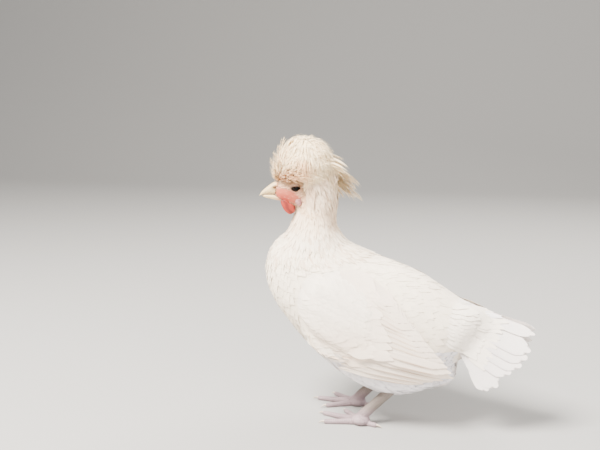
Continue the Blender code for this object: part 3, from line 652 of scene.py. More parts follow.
def spots_of(made):
    return unplace([vert.co for vert in made.verts])


def swell(made, amounts):
    """Moves each point of a bmesh along its normal, by its own amount in millimetres."""
    made.normal_update()
    moves = [vert.normal * (amount * MM) for vert, amount in zip(made.verts, amounts)]
    for vert, move in zip(made.verts, moves):
        vert.co += move


def ball(centre, radii, segments=32, rings=20):
    """An ellipsoid in model millimetres."""
    made = bmesh.new()
    bmesh.ops.create_uvsphere(made, u_segments=segments, v_segments=rings, radius=1)
    bmesh.ops.scale(made, vec=Vector(radii) * MM, verts=made.verts)
    bmesh.ops.translate(made, vec=Vector(place(centre)), verts=made.verts)
    return made


def turn_head(made):
    """Turns a bmesh that was made for a head that faces straight ahead."""
    matrix = Matrix.Rotation(HEAD_TURN, 3, "Z")
    bmesh.ops.rotate(made, cent=Vector(place(HEAD_AXIS)), matrix=matrix, verts=made.verts)
    return made


def mirrored(made):
    other = made.copy()
    for vert in other.verts:
        vert.co.x = -vert.co.x
    bmesh.ops.reverse_faces(other, faces=other.faces)
    return other


def closed_copy(node, grow=0.0):
    """A CAD node's surface with its loose triangles merged, grown a little."""
    made = bmesh.new()
    made.from_mesh(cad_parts[node].data)
    bmesh.ops.remove_doubles(made, verts=made.verts, dist=1e-6)
    swell(made, [grow] * len(made.verts))
    return made


def finer(node):
    """A merged copy of a CAD node, subdivided smooth."""
    return modified(closed_copy(node, 0.12), "SUBSURF", levels=2, render_levels=2)


def fused(parts, voxel):
    """Closed parts joined and remeshed as one surface."""
    joined = bmesh.new()
    for made in parts:
        mesh = to_mesh(made, "flesh")
        joined.from_mesh(mesh)
        bpy.data.meshes.remove(mesh)
    return modified(joined, "REMESH", mode="VOXEL", voxel_size=voxel * MM)


def soften(made, verts, rounds):
    for _ in range(rounds):
        bmesh.ops.smooth_vert(
            made, verts=verts, factor=0.5, use_axis_x=True, use_axis_y=True, use_axis_z=True
        )


# Sheets that the wing and the tail lie on

TRUNK_TREE = BVHTree.FromBMesh(closed_copy("torso"))


def trunk_side(y, z):
    """How far out the trunk's side is, in millimetres, or 0 beyond its ends."""
    start = Vector(place((SIDE_REACH, y, z)))
    hit = TRUNK_TREE.ray_cast(start, Vector((-1, 0, 0)))
    return max(hit[0].x / MM, 0.0) if hit[0] else 0.0


def wing_height(y, z):
    """How far out the wing's sheet is at a place on the flank."""
    middle, bend_y, bend_z, y0, z0 = WING_SHELL
    shell = middle - bend_y * (y - y0) ** 2 - bend_z * (z - z0) ** 2
    return max(trunk_side(y, z) + WING_STAND, shell)


def tail_height(y, z):
    """How far out the tail's sheet is, which falls off a ridge like a roof."""
    start, height, slope = TAIL_RIDGE
    ridge, rise, reach, splay = TAIL_ROOF
    drop = max(height - slope * (y - start) - z, 0)
    roof = ridge + rise * (1 - math.exp(-drop / reach)) + splay * drop
    return max(roof, trunk_side(y, z) + TAIL_STAND)


class Sheet:
    """The surface that one flank's feathers lie on, sampled on a grid over y and z."""

    def __init__(self, height, low, high, step=2.0):
        self.low = np.array(low, float)
        self.step = step
        ys, zs = (np.arange(a, b + step, step) for a, b in zip(low, high))
        self.grid = np.array([[height(y, z) for z in zs] for y in ys])

    def at(self, spots):
        steps = np.clip((spots - self.low) / self.step, 0, np.array(self.grid.shape) - 1.001)
        cell = steps.astype(int)
        u, v = np.moveaxis(steps - cell, -1, 0)
        i, j = np.moveaxis(cell, -1, 0)
        grid = self.grid
        near = grid[i, j] * (1 - u) + grid[i + 1, j] * u
        far = grid[i, j + 1] * (1 - u) + grid[i + 1, j + 1] * u
        return near * (1 - v) + far * v

    def out(self, spots, gap=3.0):
        slopes = [(self.at(spots + s) - self.at(spots - s)) / (2 * gap) for s in np.eye(2) * gap]
        return unit(np.stack([np.ones_like(slopes[0]), -slopes[0], -slopes[1]], -1))

    def lines(self, roots, tips, stands, bend):
        """Centre lines from roots to tips, off the sheet by the stands at each station."""
        along = tips - roots
        control = (roots + tips) / 2 + np.stack([-along[:, 1], along[:, 0]], -1) * bend
        spots = drawn_line(roots, control, tips, stands.shape[1])
        out = self.out(spots)
        points = np.concatenate([self.at(spots)[..., None], spots], -1)
        return points + out * stands[..., None], out


WING_SHEET = Sheet(wing_height, (-95, 40), (130, 200))
TAIL_SHEET = Sheet(tail_height, (80, 20), (200, 170))


def edge_distance(spots, outline):
    """How far spots (n, 2) lie inside an outline, in millimetres, and below 0 outside it."""
    first = np.array(outline, float)
    along = np.roll(first, -1, 0) - first
    off = spots[:, None] - first[None]
    t = np.clip((off * along).sum(-1) / (along * along).sum(-1), 0, 1)
    gap = np.linalg.norm(off - along * t[..., None], axis=-1).min(1)
    y, z = spots[:, None, 0], spots[:, None, 1]
    last = first + along
    spans = (first[:, 1] > z) != (last[:, 1] > z)
    slope = along[:, 0] / np.where(along[:, 1] == 0, 1, along[:, 1])
    inside = (spans & (y < first[:, 0] + (z - first[:, 1]) * slope)).sum(1) % 2 == 1
    return np.where(inside, gap, -gap)


# The skin

def arm_mound():
    """The muscle of a folded wing, as a low mound on the left flank."""
    middle, half = (values[0] for values in ARM_FLESH)
    made = ball(*ARM_FLESH, 48, 32)
    for vert in made.verts:
        _, y, z = unplace(vert.co)
        out = (vert.co.x / MM - middle) / half
        if out > 0:
            vert.co.x = (wing_height(y, z) - ARM_DEPTH + ARM_RISE * out) * MM
        else:
            vert.co.x -= ARM_SINK * MM
    return made


def skin_parts():
    parts = [closed_copy(node, SKIN_JOIN) for node in FLESH]
    parts += [turn_head(ball(*flesh)) for flesh in HEAD_FLESH]
    parts += [ball(*flesh) for flesh in RUMP_FLESH]
    mound = arm_mound()
    return parts + [mirrored(mound), mound]


def coat_depth(points):
    """How far the skin lies inside the solids, by place, in millimetres."""
    back = unturned(points)
    bare = ramp(bare_reach(back), 0.9, 1.5)
    head = ramp(back[:, 2], 250, 262) * ramp(-back[:, 1], 74, 88)
    depth = mix(COAT_DEPTH, HEAD_DEPTH, head) + NAPE_DEPTH * fading(points, *NAPE_HOLLOW)
    socket = SOCKET_DEPTH * fading(both_sides(back), *EYE_SOCKET)
    return depth * np.maximum(bare, 1 - head) + socket + SKIN_JOIN


def build_skin():
    """One skin over trunk, neck, head and thighs, smoothed and drawn in by the coat's depth."""
    made = fused(skin_parts(), SKIN_VOXEL)
    back = unturned(spots_of(made))
    face = (back[:, 2] > 250) & (back[:, 1] < -84)
    soften(made, [vert for vert, found in zip(made.verts, face) if not found], 14)
    soften(made, made.verts, 2)
    swell(made, -coat_depth(spots_of(made)))
    bmesh.ops.triangulate(made, faces=made.faces)
    return to_mesh(made, "skin")


def unwrap(mesh):
    """Unwraps the skin by its own shape into its OFBake map."""
    holder = linked("unwrap", mesh)
    mesh.uv_layers.new(name="OFBake")
    bpy.context.view_layer.objects.active = holder
    holder.select_set(True)
    bpy.ops.object.mode_set(mode="EDIT")
    bpy.ops.mesh.select_all(action="SELECT")
    bpy.ops.uv.smart_project(angle_limit=math.radians(66), island_margin=0.004)
    bpy.ops.object.mode_set(mode="OBJECT")
    bpy.data.objects.remove(holder)


def tint_skin(mesh):
    points = unplace(read(mesh.vertices, "co", 3))
    back = unturned(points)
    x, y, z = back.T
    bare = 1 - ramp(bare_reach(back), 0.8, 1.4)
    head = ramp(z, 252, 262) * ramp(-y, 80, 90) * (1 - ramp(z, 284, 290))
    tint = mix_rows(coat_tint(points), face_tint(points), ramp(z, 256, 266))
    tint = mix_rows(tint, HEAD_PINK, 0.6 * head)
    red = mix_rows(BARE_RED, BARE_DEEP, ramp(-y, 92, 108) * ramp(-z, -276, -266))
    set_tint(mesh, mix_rows(tint, red, bare))


class Skin:
    """The skin as arrays, with the outward direction and the unwrap of each of its faces."""

    def __init__(self, mesh):
        self.points = read(mesh.vertices, "co", 3)
        self.faces = read(mesh.loops, "vertex_index", 1, int).reshape(-1, 3)
        self.unwrapped = read(mesh.uv_layers["OFBake"].uv, "vector", 2).reshape(-1, 3, 2).mean(1)
        self.tree = BVHTree.FromPolygons(self.points.tolist(), self.faces.tolist())
        self.normals = unit(read(mesh.vertices, "normal", 3)[self.faces].mean(1))

    def nearest(self, points):
        """(points, outward directions, faces) on the skin nearest to these, all in millimetres."""
        found = [self.tree.find_nearest(Vector(point))[::2] for point in place(points)]
        spots = unplace([spot for spot, _ in found])
        faces = np.array([face for _, face in found])
        return spots, self.normals[faces], faces

    def scatter(self, spacing, wanted, seed):
        """Places on the skin about a spacing apart, where wanted is true of a place."""
        draw = np.random.default_rng(seed)
        corners = unplace(self.points[self.faces])
        sides = corners[:, 1:] - corners[:, :1]
        area = np.linalg.norm(np.cross(sides[:, 0], sides[:, 1]), axis=1) * wanted(corners.mean(1))
        count = int(area.sum() / 2 / spacing**2 * 5)
        faces = draw.choice(len(area), count, p=area / area.sum())
        a, b = draw.random((2, count, 1))
        fold = a + b > 1
        a, b = np.where(fold, 1 - a, a), np.where(fold, 1 - b, b)
        points = corners[faces, 0] + a * sides[faces, 0] + b * sides[faces, 1]
        kept, cells = [], {}
        for k, point in enumerate(points):
            cell = tuple((point // spacing).astype(int))
            near = (
                cells.get((cell[0] + i, cell[1] + j, cell[2] + m))
                for i in (-1, 0, 1) for j in (-1, 0, 1) for m in (-1, 0, 1)
            )
            if all(n is None or ((points[n] - point) ** 2).sum() > spacing**2 * 0.8 for n in near):
                cells[cell] = k
                kept.append(k)
        return points[kept], self.normals[faces[kept]], faces[kept]


# Feathers

def vane_form(columns, rows, outline, shaft, fringe, rounding, cup, body):
    """A closed thin vane as arrays: across in half widths, along 0 to 1, and height."""
    made = bmesh.new()
    bmesh.ops.create_grid(made, x_segments=columns, y_segments=rows, size=1)
    top = max(vert.co.y for vert in made.verts)
    inner = set()
    for vert in made.verts:
        u, v = vert.co.x, 1 - ((1 - vert.co.y) / 2) ** 1.5
        column = round((u + 1) / 2 * columns)
        tip = fringe * (column % 2) if abs(vert.co.y - top) < 1e-5 else 0
        height = shaft * (1 - v) if abs(u) < 1e-5 else 0
        share = np.interp(v, *zip(*outline))
        vert.co = (u * share, v * (1 - rounding * u * u) - tip, height - cup * u * u)
        if abs(u) < 1 - 1e-5 and 1e-5 < v < 1 - 1e-5:
            inner.add(tuple(vert.co))
    copied = bmesh.ops.duplicate(made, geom=made.verts[:] + made.edges[:] + made.faces[:])["geom"]
    for vert in (item for item in copied if isinstance(item, bmesh.types.BMVert)):
        if tuple(vert.co) in inner:
            vert.co.z -= body
    faces = [item for item in copied if isinstance(item, bmesh.types.BMFace)]
    bmesh.ops.reverse_faces(made, faces=faces)
    bmesh.ops.remove_doubles(made, verts=made.verts, dist=1e-6)
    bmesh.ops.triangulate(made, faces=made.faces)
    made.verts.index_update()
    points = np.array([vert.co for vert in made.verts])
    faces = np.array([[vert.index for vert in face.verts] for face in made.faces])
    rim = np.zeros((len(points), len(points)), bool)
    for edge in made.edges:
        if edge.calc_face_angle() > math.pi / 2:
            a, b = (vert.index for vert in edge.verts)
            rim[a, b] = rim[b, a] = True
    made.free()
    return points, faces, rim


class Coat:
    """Feathers of one form, gathered on the skin and then made one mesh."""

    def __init__(self, skin, form):
        self.skin = skin
        self.form = vane_form(*form)
        self.feathers = []

    def add(self, lines, normals, widths, tints, faces=None):
        """Centre lines (n, k, 3), outward directions, half widths (n), tints and the roots' faces."""
        if faces is None:
            _, _, faces = self.skin.nearest(lines[:, 0])
        self.feathers.append((lines, normals, widths, tints, self.skin.unwrapped[faces]))

    def mesh(self, name, patch=VANE_PATCH, edge=(1, 1, 1), edge_from=0.45):
        """All the feathers as one mesh, with painted shade at each root and along lower edges."""
        points, faces, rim = self.form
        lines, normals, widths, tints, roots = map(np.concatenate, zip(*self.feathers))
        count, stations = lines.shape[:2]
        spot = np.clip(points[:, 1], 0, 1) * (stations - 1)
        k = np.minimum(spot.astype(int), stations - 2)
        t = (spot - k)[None, :, None]
        ahead = np.gradient(lines, axis=1)
        centre, ahead, out = (
            values[:, k] * (1 - t) + values[:, k + 1] * t for values in (lines, ahead, normals)
        )
        ahead = unit(ahead)
        across = unit(np.cross(ahead, unit(out)))
        up = np.cross(across, ahead)
        off = (across * points[None, :, :1] + up * points[None, :, 2:]) * widths[:, None, None]
        found = place((centre + off).reshape(-1, 3))
        all_faces = (faces[None] + (np.arange(count) * len(points))[:, None, None]).reshape(-1, 3)
        mesh = bpy.data.meshes.new(name)
        mesh.vertices.add(len(found))
        mesh.vertices.foreach_set("co", found.ravel())
        mesh.loops.add(all_faces.size)
        mesh.loops.foreach_set("vertex_index", all_faces.ravel().astype(np.int32))
        mesh.polygons.add(len(all_faces))
        mesh.polygons.foreach_set("loop_start", np.arange(0, all_faces.size, 3, dtype=np.int32))
        mesh.update(calc_edges=True)
        first, last = read(mesh.edges, "vertices", 2, np.int32).T % len(points)
        keep(mesh, "sharp_edge", "BOOLEAN", "EDGE", "value", rim[first, last])
        local = np.stack([points[:, 0] / 2 + 0.5, points[:, 1]], 1)[faces.ravel()]
        vane = np.broadcast_to(local[None], (count, faces.size, 2))
        bake = roots[:, None, :] + (local - 0.5)[None] * patch
        for layer, values in (("vane", vane), ("OFBake", bake)):
            mesh.uv_layers.new(name=layer)
            mesh.uv_layers[layer].uv.foreach_set("vector", values.astype(np.float32).ravel())
        # painted shade line: the half of each vane that faces down is darkened towards its edge by the edge
        # colour
        lower = ramp(-across[..., 2] * points[None, :, 0], edge_from, 0.95)[..., None]
        # painted shade: each feather darker towards its root, where the feather above lies over it
        shade = mix(0.84, 1.0, ramp(points[:, 1], 0.2, 0.9))[None, :, None]
        colours = tints[:, None, :] * shade * mix(1.0, np.array(edge), lower)
        set_tint(mesh, colours.reshape(-1, 3))
        mesh.shade_smooth()
        return mesh


def spread(vectors, normals, angles):
    """Turns directions along the skin by a small angle each."""
    side = np.cross(normals, vectors)
    return vectors * np.cos(angles)[:, None] + side * np.sin(angles)[:, None]


def lay(coat, roots, flow, length, width, lifts, tint, seed, wander=0.12):
    """Lays feathers along the skin, off it by the lifts at their root, middle and tip."""
    draw = np.random.default_rng(seed)
    points, normals, faces = roots
    count = len(points)
    lifts = np.broadcast_to(lifts, (count, 3))
    grown = length * draw.uniform(*SIZE_RANGE, count)
    ahead = spread(flow, normals, draw.normal(0, wander, count))
    half = grown[:, None] / 2
    middle, middle_out, _ = coat.skin.nearest(points + ahead * half)
    tip, tip_out, _ = coat.skin.nearest(middle + along_skin(ahead, middle_out) * half)
    rise = draw.uniform(0.8, 1.2, (count, 1))
    lines = smooth_line(
        points + normals * lifts[:, :1],
        middle + middle_out * lifts[:, 1:2] * rise,
        tip + tip_out * lifts[:, 2:] * rise,
        STATIONS,
    )
    outs = unit(smooth_line(normals, middle_out, tip_out, STATIONS))
    half_width = width / 2 * draw.uniform(*SIZE_RANGE, count)
    coat.add(lines, outs, half_width, tint(tip) * draw.uniform(*TINT_RANGE, (count, 1)), faces)


# Where each sort of feather grows on the body and the head, and how it lies

def by_eye(back):
    """Below 1 on the lids and the skin by them."""
    return within(both_sides(back), *EYE_GAP)


def is_bare(back):
    return (bare_reach(back) < 1) | (by_eye(back) < 1)


def is_crested(back):
    return (within(back, CREST_CENTRE, CREST_SPAN) < 1) & (back[:, 2] > 291)


def wing_cover(points):
    """How far inside the ground of the folded wing each place on a flank lies."""
    gap = edge_distance(points[:, 1:], WING_GROUND)
    return np.where(np.abs(points[:, 0]) > 34, gap, -1e3)


def body_flow(points, normals):
    """The way feathers lie at each place, along the skin."""
    x, y, z = points.T
    trunk = mix_rows((0, 0.5, -0.87), (0, 0.957, -0.29), ramp(y, -112, -40))
    trunk = mix_rows(trunk, (0, 0.83, -0.56), ramp(-z, -95, -55) * ramp(y, -60, -10))
    trunk = mix_rows(trunk, (0, 0.96, -0.28), ramp(y, 70, 110))
    flow = mix_rows(trunk, (0, 0.12, -1.0), ramp(z, 196, 226) * ramp(-y, 0, 30))
    return along_skin(flow, normals)


def coat_tint(points):
    """White, warmer on the neck and cooler at the rear and below."""
    x, y, z = points.T
    neck = ramp(z, 205, 235) * (1 - ramp(z, 285, 300))
    rear = np.maximum(ramp(y, 100, 140), 0.8 * ramp(-z, -105, -70))
    return mix_rows(mix_rows(COAT_WHITE, COAT_WARM, 0.6 * neck), COAT_COOL, rear)


def build_body_coat(skin):
    def wanted(points):
        back = unturned(points)
        head = (back[:, 2] > 255) & (back[:, 1] < -78)
        return (points[:, 2] < 224) & ~head & (wing_cover(points) < 14)
    coat = Coat(skin, CONTOUR_FORM)
    roots = skin.scatter(4.6, wanted, seed=1)
    x, y, z = roots[0].T
    rump = ramp(y, 62, 100)
    vent = rump * ramp(-z, -112, -84)
    length = mix(mix(mix(19, 27, ramp(y, -110, -10)), 22, ramp(-z, -90, -50)), 36, rump)
    width = mix(mix(12, 16, ramp(y, -110, 0)), 11, ramp(y, 62, 96))
    lifts = mix_rows(mix_rows((-0.7, 0.9, 1.6), (-0.7, 2.3, 2.6), rump), (-0.6, 2.2, 4.0), vent)
    lay(coat, roots, body_flow(*roots[:2]), length, width, lifts, coat_tint, seed=2)
    return coat.mesh("body_feathers")


def build_thigh_coat(skin):
    """Long narrow feathers along the thigh and flank, below the wing."""
    def wanted(points):
        x, y, z = points.T
        return (np.abs(x) > 18) & (z < 92) & (y > -62) & (y < 78)
    coat = Coat(skin, THIGH_FORM)
    roots = skin.scatter(3.2, wanted, seed=11)
    x, y, z = roots[0].T
    flow = along_skin(mix_rows((0, 0.8, -0.6), (0, 0.98, 0.1), ramp(y, -40, 50)), roots[1])
    lifts = mix_rows((-0.7, 1.4, 2.2), (-0.7, 3.2, 5.0), ramp(-z, -80, -50))
    lay(coat, roots, flow, 38, 7, lifts, lambda tips: THIGH_COOL, seed=12, wander=0.06)
    return coat.mesh("thigh_feathers", edge=THIGH_EDGE_SHADE)


def build_hackles(skin):
    """Pointed feathers down the neck, and longer ones that fall from behind the face."""
    def wanted(points):
        back = unturned(points)
        face = (back[:, 1] < -83) & (back[:, 2] > 258)
        return (points[:, 2] > 208) & ~is_bare(back) & ~is_crested(back) & ~face
    def upper(points):
        back = unturned(points)
        x, y, z = back.T
        return (y > -83) & (z > 260) & (z < 306) & ~is_bare(back) & (y < -42)
    def tint(points):
        streak = np.random.default_rng(7).random(len(points)) ** 3
        ear = fading(unturned(points) * SIDE_ON, *HACKLE_TAN)
        return mix_rows(coat_tint(points), HACKLE_BROWN, np.maximum(0.6 * streak, 0.75 * ear))
    coat = Coat(skin, HACKLE_FORM)
    roots = skin.scatter(2.3, wanted, seed=3)
    high = ramp(roots[0][:, 2], 225, 285)
    length, width = mix(30, 15, high), mix(8.0, 4.2, high)
    lay(coat, roots, body_flow(*roots[:2]), length, width, (-0.6, 1.4, 2.7), tint, seed=4)
    roots = skin.scatter(2.0, upper, seed=8)
    fall = along_skin(faced(np.array([0, 0.4, -1.0])), roots[1])
    lifts = mix_rows((-0.6, 1.6, 2.6), (0.5, 7.0, 3.6), ramp(unturned(roots[0])[:, 2], 262, 292))
    lay(coat, roots, fall, 27, 4.6, lifts, tint, seed=9, wander=0.16)
    return coat.mesh("hackles")


def face_tint(points):
    """Cream, with painted shade above the eye under the crest, tan behind the eye, and pink towards the bare
    skin.
    """
    back = unturned(points)
    brow, ear = (fading(back * SIDE_ON, *spot) for spot in (BROW_SHADE, EAR_TAN))
    # the brow's part is painted shade under the crest; the ear's part is a tan tone
    tan = np.maximum(brow, 0.7 * ear) * ramp(np.abs(back[:, 0]), 6, 12)
    blush = 1 - ramp(bare_reach(back), 0.9, 2.2)
    return mix_rows(mix_rows(FACE_CREAM, FACE_BROWN, 0.9 * tan), FACE_BLUSH, 0.6 * blush)


def behind_eye(back):
    return ramp(back[:, 1], -94, -81)


def face_flow(back, normals):
    """Back from the bill beside the face, down over the ear, and up the forehead."""
    brow = ramp(back[:, 2], 282, 290) * ramp(-back[:, 1], 96, 104)
    ahead = mix_rows((0, 0.93, -0.3), (0, 0.5, -0.87), behind_eye(back))
    return along_skin(faced(mix_rows(ahead, (0, 0.2, 1.0), brow)), normals)


def build_face_coat(skin):
    """Short feathers on the face, sparse where it is bare, longer over the ear and forehead."""
    def wanted(points):
        back = unturned(points)
        x, y, z = back.T
        thin = mix(0.014, 1.0, ramp(bare_reach(back), 0.85, 1.3))
        brow = (y < -98) & (z < 318)
        return thin * ((z > 255) & (~is_crested(back) | brow) & (by_eye(back) >= 1) & (y < -77))
    coat = Coat(skin, FACE_FORM)
    roots = skin.scatter(1.1, wanted, seed=5)
    back = unturned(roots[0])
    forehead = ramp(back[:, 2], 284, 298) * ramp(-back[:, 1], 94, 102)
    bald = 1 - ramp(bare_reach(back), 0.85, 1.4)
    def by_place(face, ear, brow):
        return mix_rows(mix_rows(face, ear, behind_eye(back)), brow, forehead)
    length = mix(by_place([5.5], [15.0], [13.0])[:, 0], 2.6, bald)
    length = mix(1.8, length, ramp(by_eye(back), 1.0, 1.9))
    width = mix(by_place([1.6], [3.4], [3.0])[:, 0], 0.4, bald)
    lifts = by_place([-0.2, 0.8, 1.7], [-0.3, 1.8, 3.2], [-0.3, 2.0, 3.6])
    flow = face_flow(back, roots[1])
    lay(coat, roots, flow, length, width, lifts, face_tint, seed=6, wander=0.24)
    return coat.mesh("face_feathers")


# The crest

def crest_place(sweep, turn, reach):
    """Points at a reach from the crest's centre, by sweep and turn in degrees."""
    sweep, turn = np.radians(sweep), np.radians(turn)
    level = -np.cos(sweep)
    rise = np.sin(sweep) * np.cos(turn) - CREST_DROOP * level * level
    aim = unit(np.stack([np.sin(sweep) * np.sin(turn), level, rise], -1))
    return CREST_CENTRE + aim * np.asarray(reach)[..., None]


def notched(sweep, turn):
    """The share of the crest's reach that is left where its outline has a notch."""
    dips = sum(share * np.exp(-(((sweep - spot) / wide) ** 2)) for spot, wide, share in CREST_NOTCHES)
    return 1 - dips * np.maximum(np.cos(np.radians(turn)), 0)


def crest_lines(sweep, turn, reach, length, middle):
    first = crest_place(sweep - length, turn, CREST_ROOT)
    control = crest_place(sweep - length / 2, turn, reach * middle)
    lines = drawn_line(first, control, crest_place(sweep, turn, reach), LOCK_STATIONS)
    return turned(lines), faced(unit(lines - CREST_CENTRE))


def add_locks(coat, draw, lines, outs, half_width):
    """Adds locks, cream white, with a painted shade low on the sides above the eye."""
    widths = draw.uniform(*half_width, len(lines))
    # painted shade above the eye, where the crest overhangs it
    peach_shade = fading(unturned(lines[:, -1]) * SIDE_ON, *CREST_PEACH_SHADE)
    tints = mix_rows(LOCK_CREAM, LOCK_PEACH_SHADE, 0.9 * peach_shade) * draw.uniform(*TINT_RANGE, (len(lines), 1))
    coat.add(lines, outs, widths, tints)


def lay_crest(coat, draw, count, sweeps, share, length, half_width):
    """Adds locks that sweep over the dome, spread evenly over it."""
    first, last = np.cos(np.radians(sweeps))
    sweep = np.degrees(np.arccos(mix(first, last, draw.random(count))))
    behind = ramp(sweep, 90, 180)
    furthest = mix(*CREST_TURN, ramp(sweep, 85, 130))
    turn = furthest * draw.uniform(-1, 1, count) + draw.normal(0, 5, count)
    sweep = sweep + np.abs(draw.normal(0, 5, count)) * (1 - behind)
    top = np.maximum(np.cos(np.radians(turn)), 0)
    reach = mix(*CREST_REACH, top) + CREST_REAR_REACH * behind
    reach = mix(reach, CREST_RIM, ramp(np.abs(turn), 98, 150)) * draw.uniform(*share, count)
    reach = reach * notched(sweep, turn)
    lengths = np.minimum(mix(*CREST_LENGTH, behind) * draw.uniform(*length, count), sweep + 12)
    lines, outs = crest_lines(sweep, turn, reach, lengths, 0.97)
    clear = (within(both_sides(unturned(lines)), *EYE_CLEAR) > 1).all(1)
    add_locks(coat, draw, lines[clear], outs[clear], half_width)


def fall_place(around, run, share):
    """Points on the dome, at a run in millimetres down from its crown, and hanging below it."""
    over = np.minimum(run / FALL_REACH, math.pi / 2)
    below = np.maximum(run - FALL_REACH * math.pi / 2, 0)
    drawn = mix(*FALL_DRAW, ramp(np.abs(around), 110, 160))
    reach = (FALL_REACH * np.sin(over) - drawn * below) * share
    angle = np.radians(around)
    rise = FALL_REACH * np.cos(over) * share - below * 0.94
    return CREST_CENTRE + np.stack([reach * np.sin(angle), -reach * np.cos(angle), rise], -1)


def lay_falls(coat, draw, count, share, half_width):
    """Adds locks that part at the crown and hang over the sides and the nape."""
    side = draw.choice((-1, 1), count)
    around = draw.uniform(*FALL_TURN, count)
    furthest = mix(*FALL_END, ramp(around, 78, 104))
    end = mix(30, furthest, draw.random(count)) + draw.normal(0, 4, count)
    length = draw.uniform(26, 42, count)
    stand = draw.uniform(*share, count) * mix(0.92, 1.0, ramp(around, 70, 96))
    t = np.linspace(0, 1, LOCK_STATIONS)[None, :]
    run = np.maximum(end[:, None] - length[:, None] * (1 - t), 2)
    swing = side[:, None] * (around[:, None] + draw.normal(0, 7, (count, 1)) * t)
    lines = fall_place(swing, run, mix(0.74, stand[:, None], np.sin(t * math.pi / 2)))
    outs = unit((lines - CREST_CENTRE) * [1, 1, 0.4] + [0, 0, 9])
    clear = (within(both_sides(lines), *EYE_CLEAR) > 1).all(1)
    add_locks(coat, draw, turned(lines[clear]), faced(outs[clear]), half_width)


def build_crest(skin):
    """Broad soft locks close over the head, and finer ones over them."""
    draw = np.random.default_rng(21)
    coat = Coat(skin, LOCK_FORM)
    for layer in CREST_LAYERS:
        lay_crest(coat, draw, *layer)
    return coat.mesh("crest_locks")


def build_falls(skin):
    """The crest's hanging locks, which cover where it meets the neck."""
    draw = np.random.default_rng(23)
    coat = Coat(skin, LOCK_FORM)
    for layer in FALL_LAYERS:
        lay_falls(coat, draw, *layer)
    return coat.mesh("crest_falls")


def lay_bunches(coat, draw, count, tips, length, middle, shortest, gather, half_width):
    """Adds thin feathers in bunches, each round a tip given as sweep, turn and reach."""
    sweep, turn, reach = np.array(tips, float)[draw.integers(0, len(tips), count)].T
    sweep = sweep + draw.normal(0, gather * 0.7, count)
    turn = turn + draw.normal(0, gather, count)
    reach = reach * draw.uniform(shortest, 1, count)
    length = np.minimum(length * draw.uniform(0.9, 1.1, count), sweep + 10)
    add_locks(coat, draw, *crest_lines(sweep, turn, reach, length, middle), half_width)


def build_wisps(skin):
    """Long thin feathers that hang back in bunches, and short ones that stand up in front."""
    draw = np.random.default_rng(22)
    coat = Coat(skin, WISP_FORM)
    sweep, turn = draw.uniform(*WISP_SWEEP, WISPS), draw.normal(0, WISP_SPREAD, WISPS)
    reach = mix(WISP_REACH[0], draw.uniform(*WISP_REACH, WISPS), ramp(sweep, 138, 160))
    hanging = np.stack([sweep, turn, reach], 1)
    sweep, turn = draw.uniform(*SPIKE_SWEEP, SPIKES), draw.uniform(-1, 1, SPIKES) * SPIKE_TURN
    reach = draw.uniform(*SPIKE_REACH, SPIKES) * notched(sweep, turn)
    standing = np.stack([sweep, turn, reach], 1)
    for count, tips, length, middle, shortest, gather, half_width in (
        (620, hanging, 36, 0.78, 0.68, 2.6, (0.8, 1.9)),
        (560, WISP_OUTLINE, 32, 0.72, 0.74, 1.5, (0.7, 1.7)),
        (330, standing, 28, 0.88, 0.92, 2.4, (0.9, 1.8)),
        (240, SPIKE_OUTLINE, 28, 0.86, 0.90, 2.2, (0.9, 1.8)),
    ):
        lay_bunches(coat, draw, count, tips, length, middle, shortest, gather, half_width)
    return coat.mesh("crest_wisps")


# Wings and tail

def settled(skin, lines):
    """Lines drawn in onto the rump, so that no feather stands off it."""
    spots, outs, _ = skin.nearest(lines.reshape(-1, 3))
    gap = ((lines.reshape(-1, 3) - spots) * outs).sum(1)
    cap = np.tile(np.linspace(-0.5, 3.2, lines.shape[1]), len(lines))
    near = (spots + outs * np.minimum(gap, cap)[:, None]).reshape(lines.shape)
    return mix(near, lines, ramp(lines[..., 1:2], TAIL_FREE - 18, TAIL_FREE))


def tier(coat, sheet, side, feathers, tilt, bend, dip, tint, draw, stations, settle=False):
    """Adds feathers given as (root, tip, width, stand), on one side of the bird."""
    roots, tips, widths, stand = (np.array(values, float) for values in zip(*feathers))
    sunk = dip * (1 - ramp(np.linspace(0, 1, stations), 0, 0.4))
    lines, outs = sheet.lines(roots, tips, stand[:, None] - sunk, bend)
    if settle:
        lines = settled(coat.skin, lines)
    upward = unit(np.cross(outs, unit(np.gradient(lines, axis=1))))
    upward *= np.where(upward[..., 2:] < 0, -1, 1)
    outs = unit(outs + upward * tilt)
    tints = np.array(tint) * draw.uniform(*WING_TINT_RANGE, (len(lines), 1))
    coat.add(lines * [side, 1, 1], outs * [side, 1, 1], widths / 2, tints)


def row(count, low, high, draw, loose=0.6):
    """Feathers between a lowest and a highest: tip, degrees below level, length, width, stand."""
    found = []
    for k in range(count):
        t = k / (count - 1)
        tip = mix(np.array(low[0], float), np.array(high[0], float), t)
        tip = tip + draw.uniform(-loose, loose, 2)
        drop, length, width, stand = (mix(a, b, t) for a, b in zip(low[1:], high[1:]))
        turn = math.radians(drop + draw.uniform(-loose, loose))
        root = tip - np.array([math.cos(turn), -math.sin(turn)]) * length
        found.append((root, tip, width, stand))
    return found


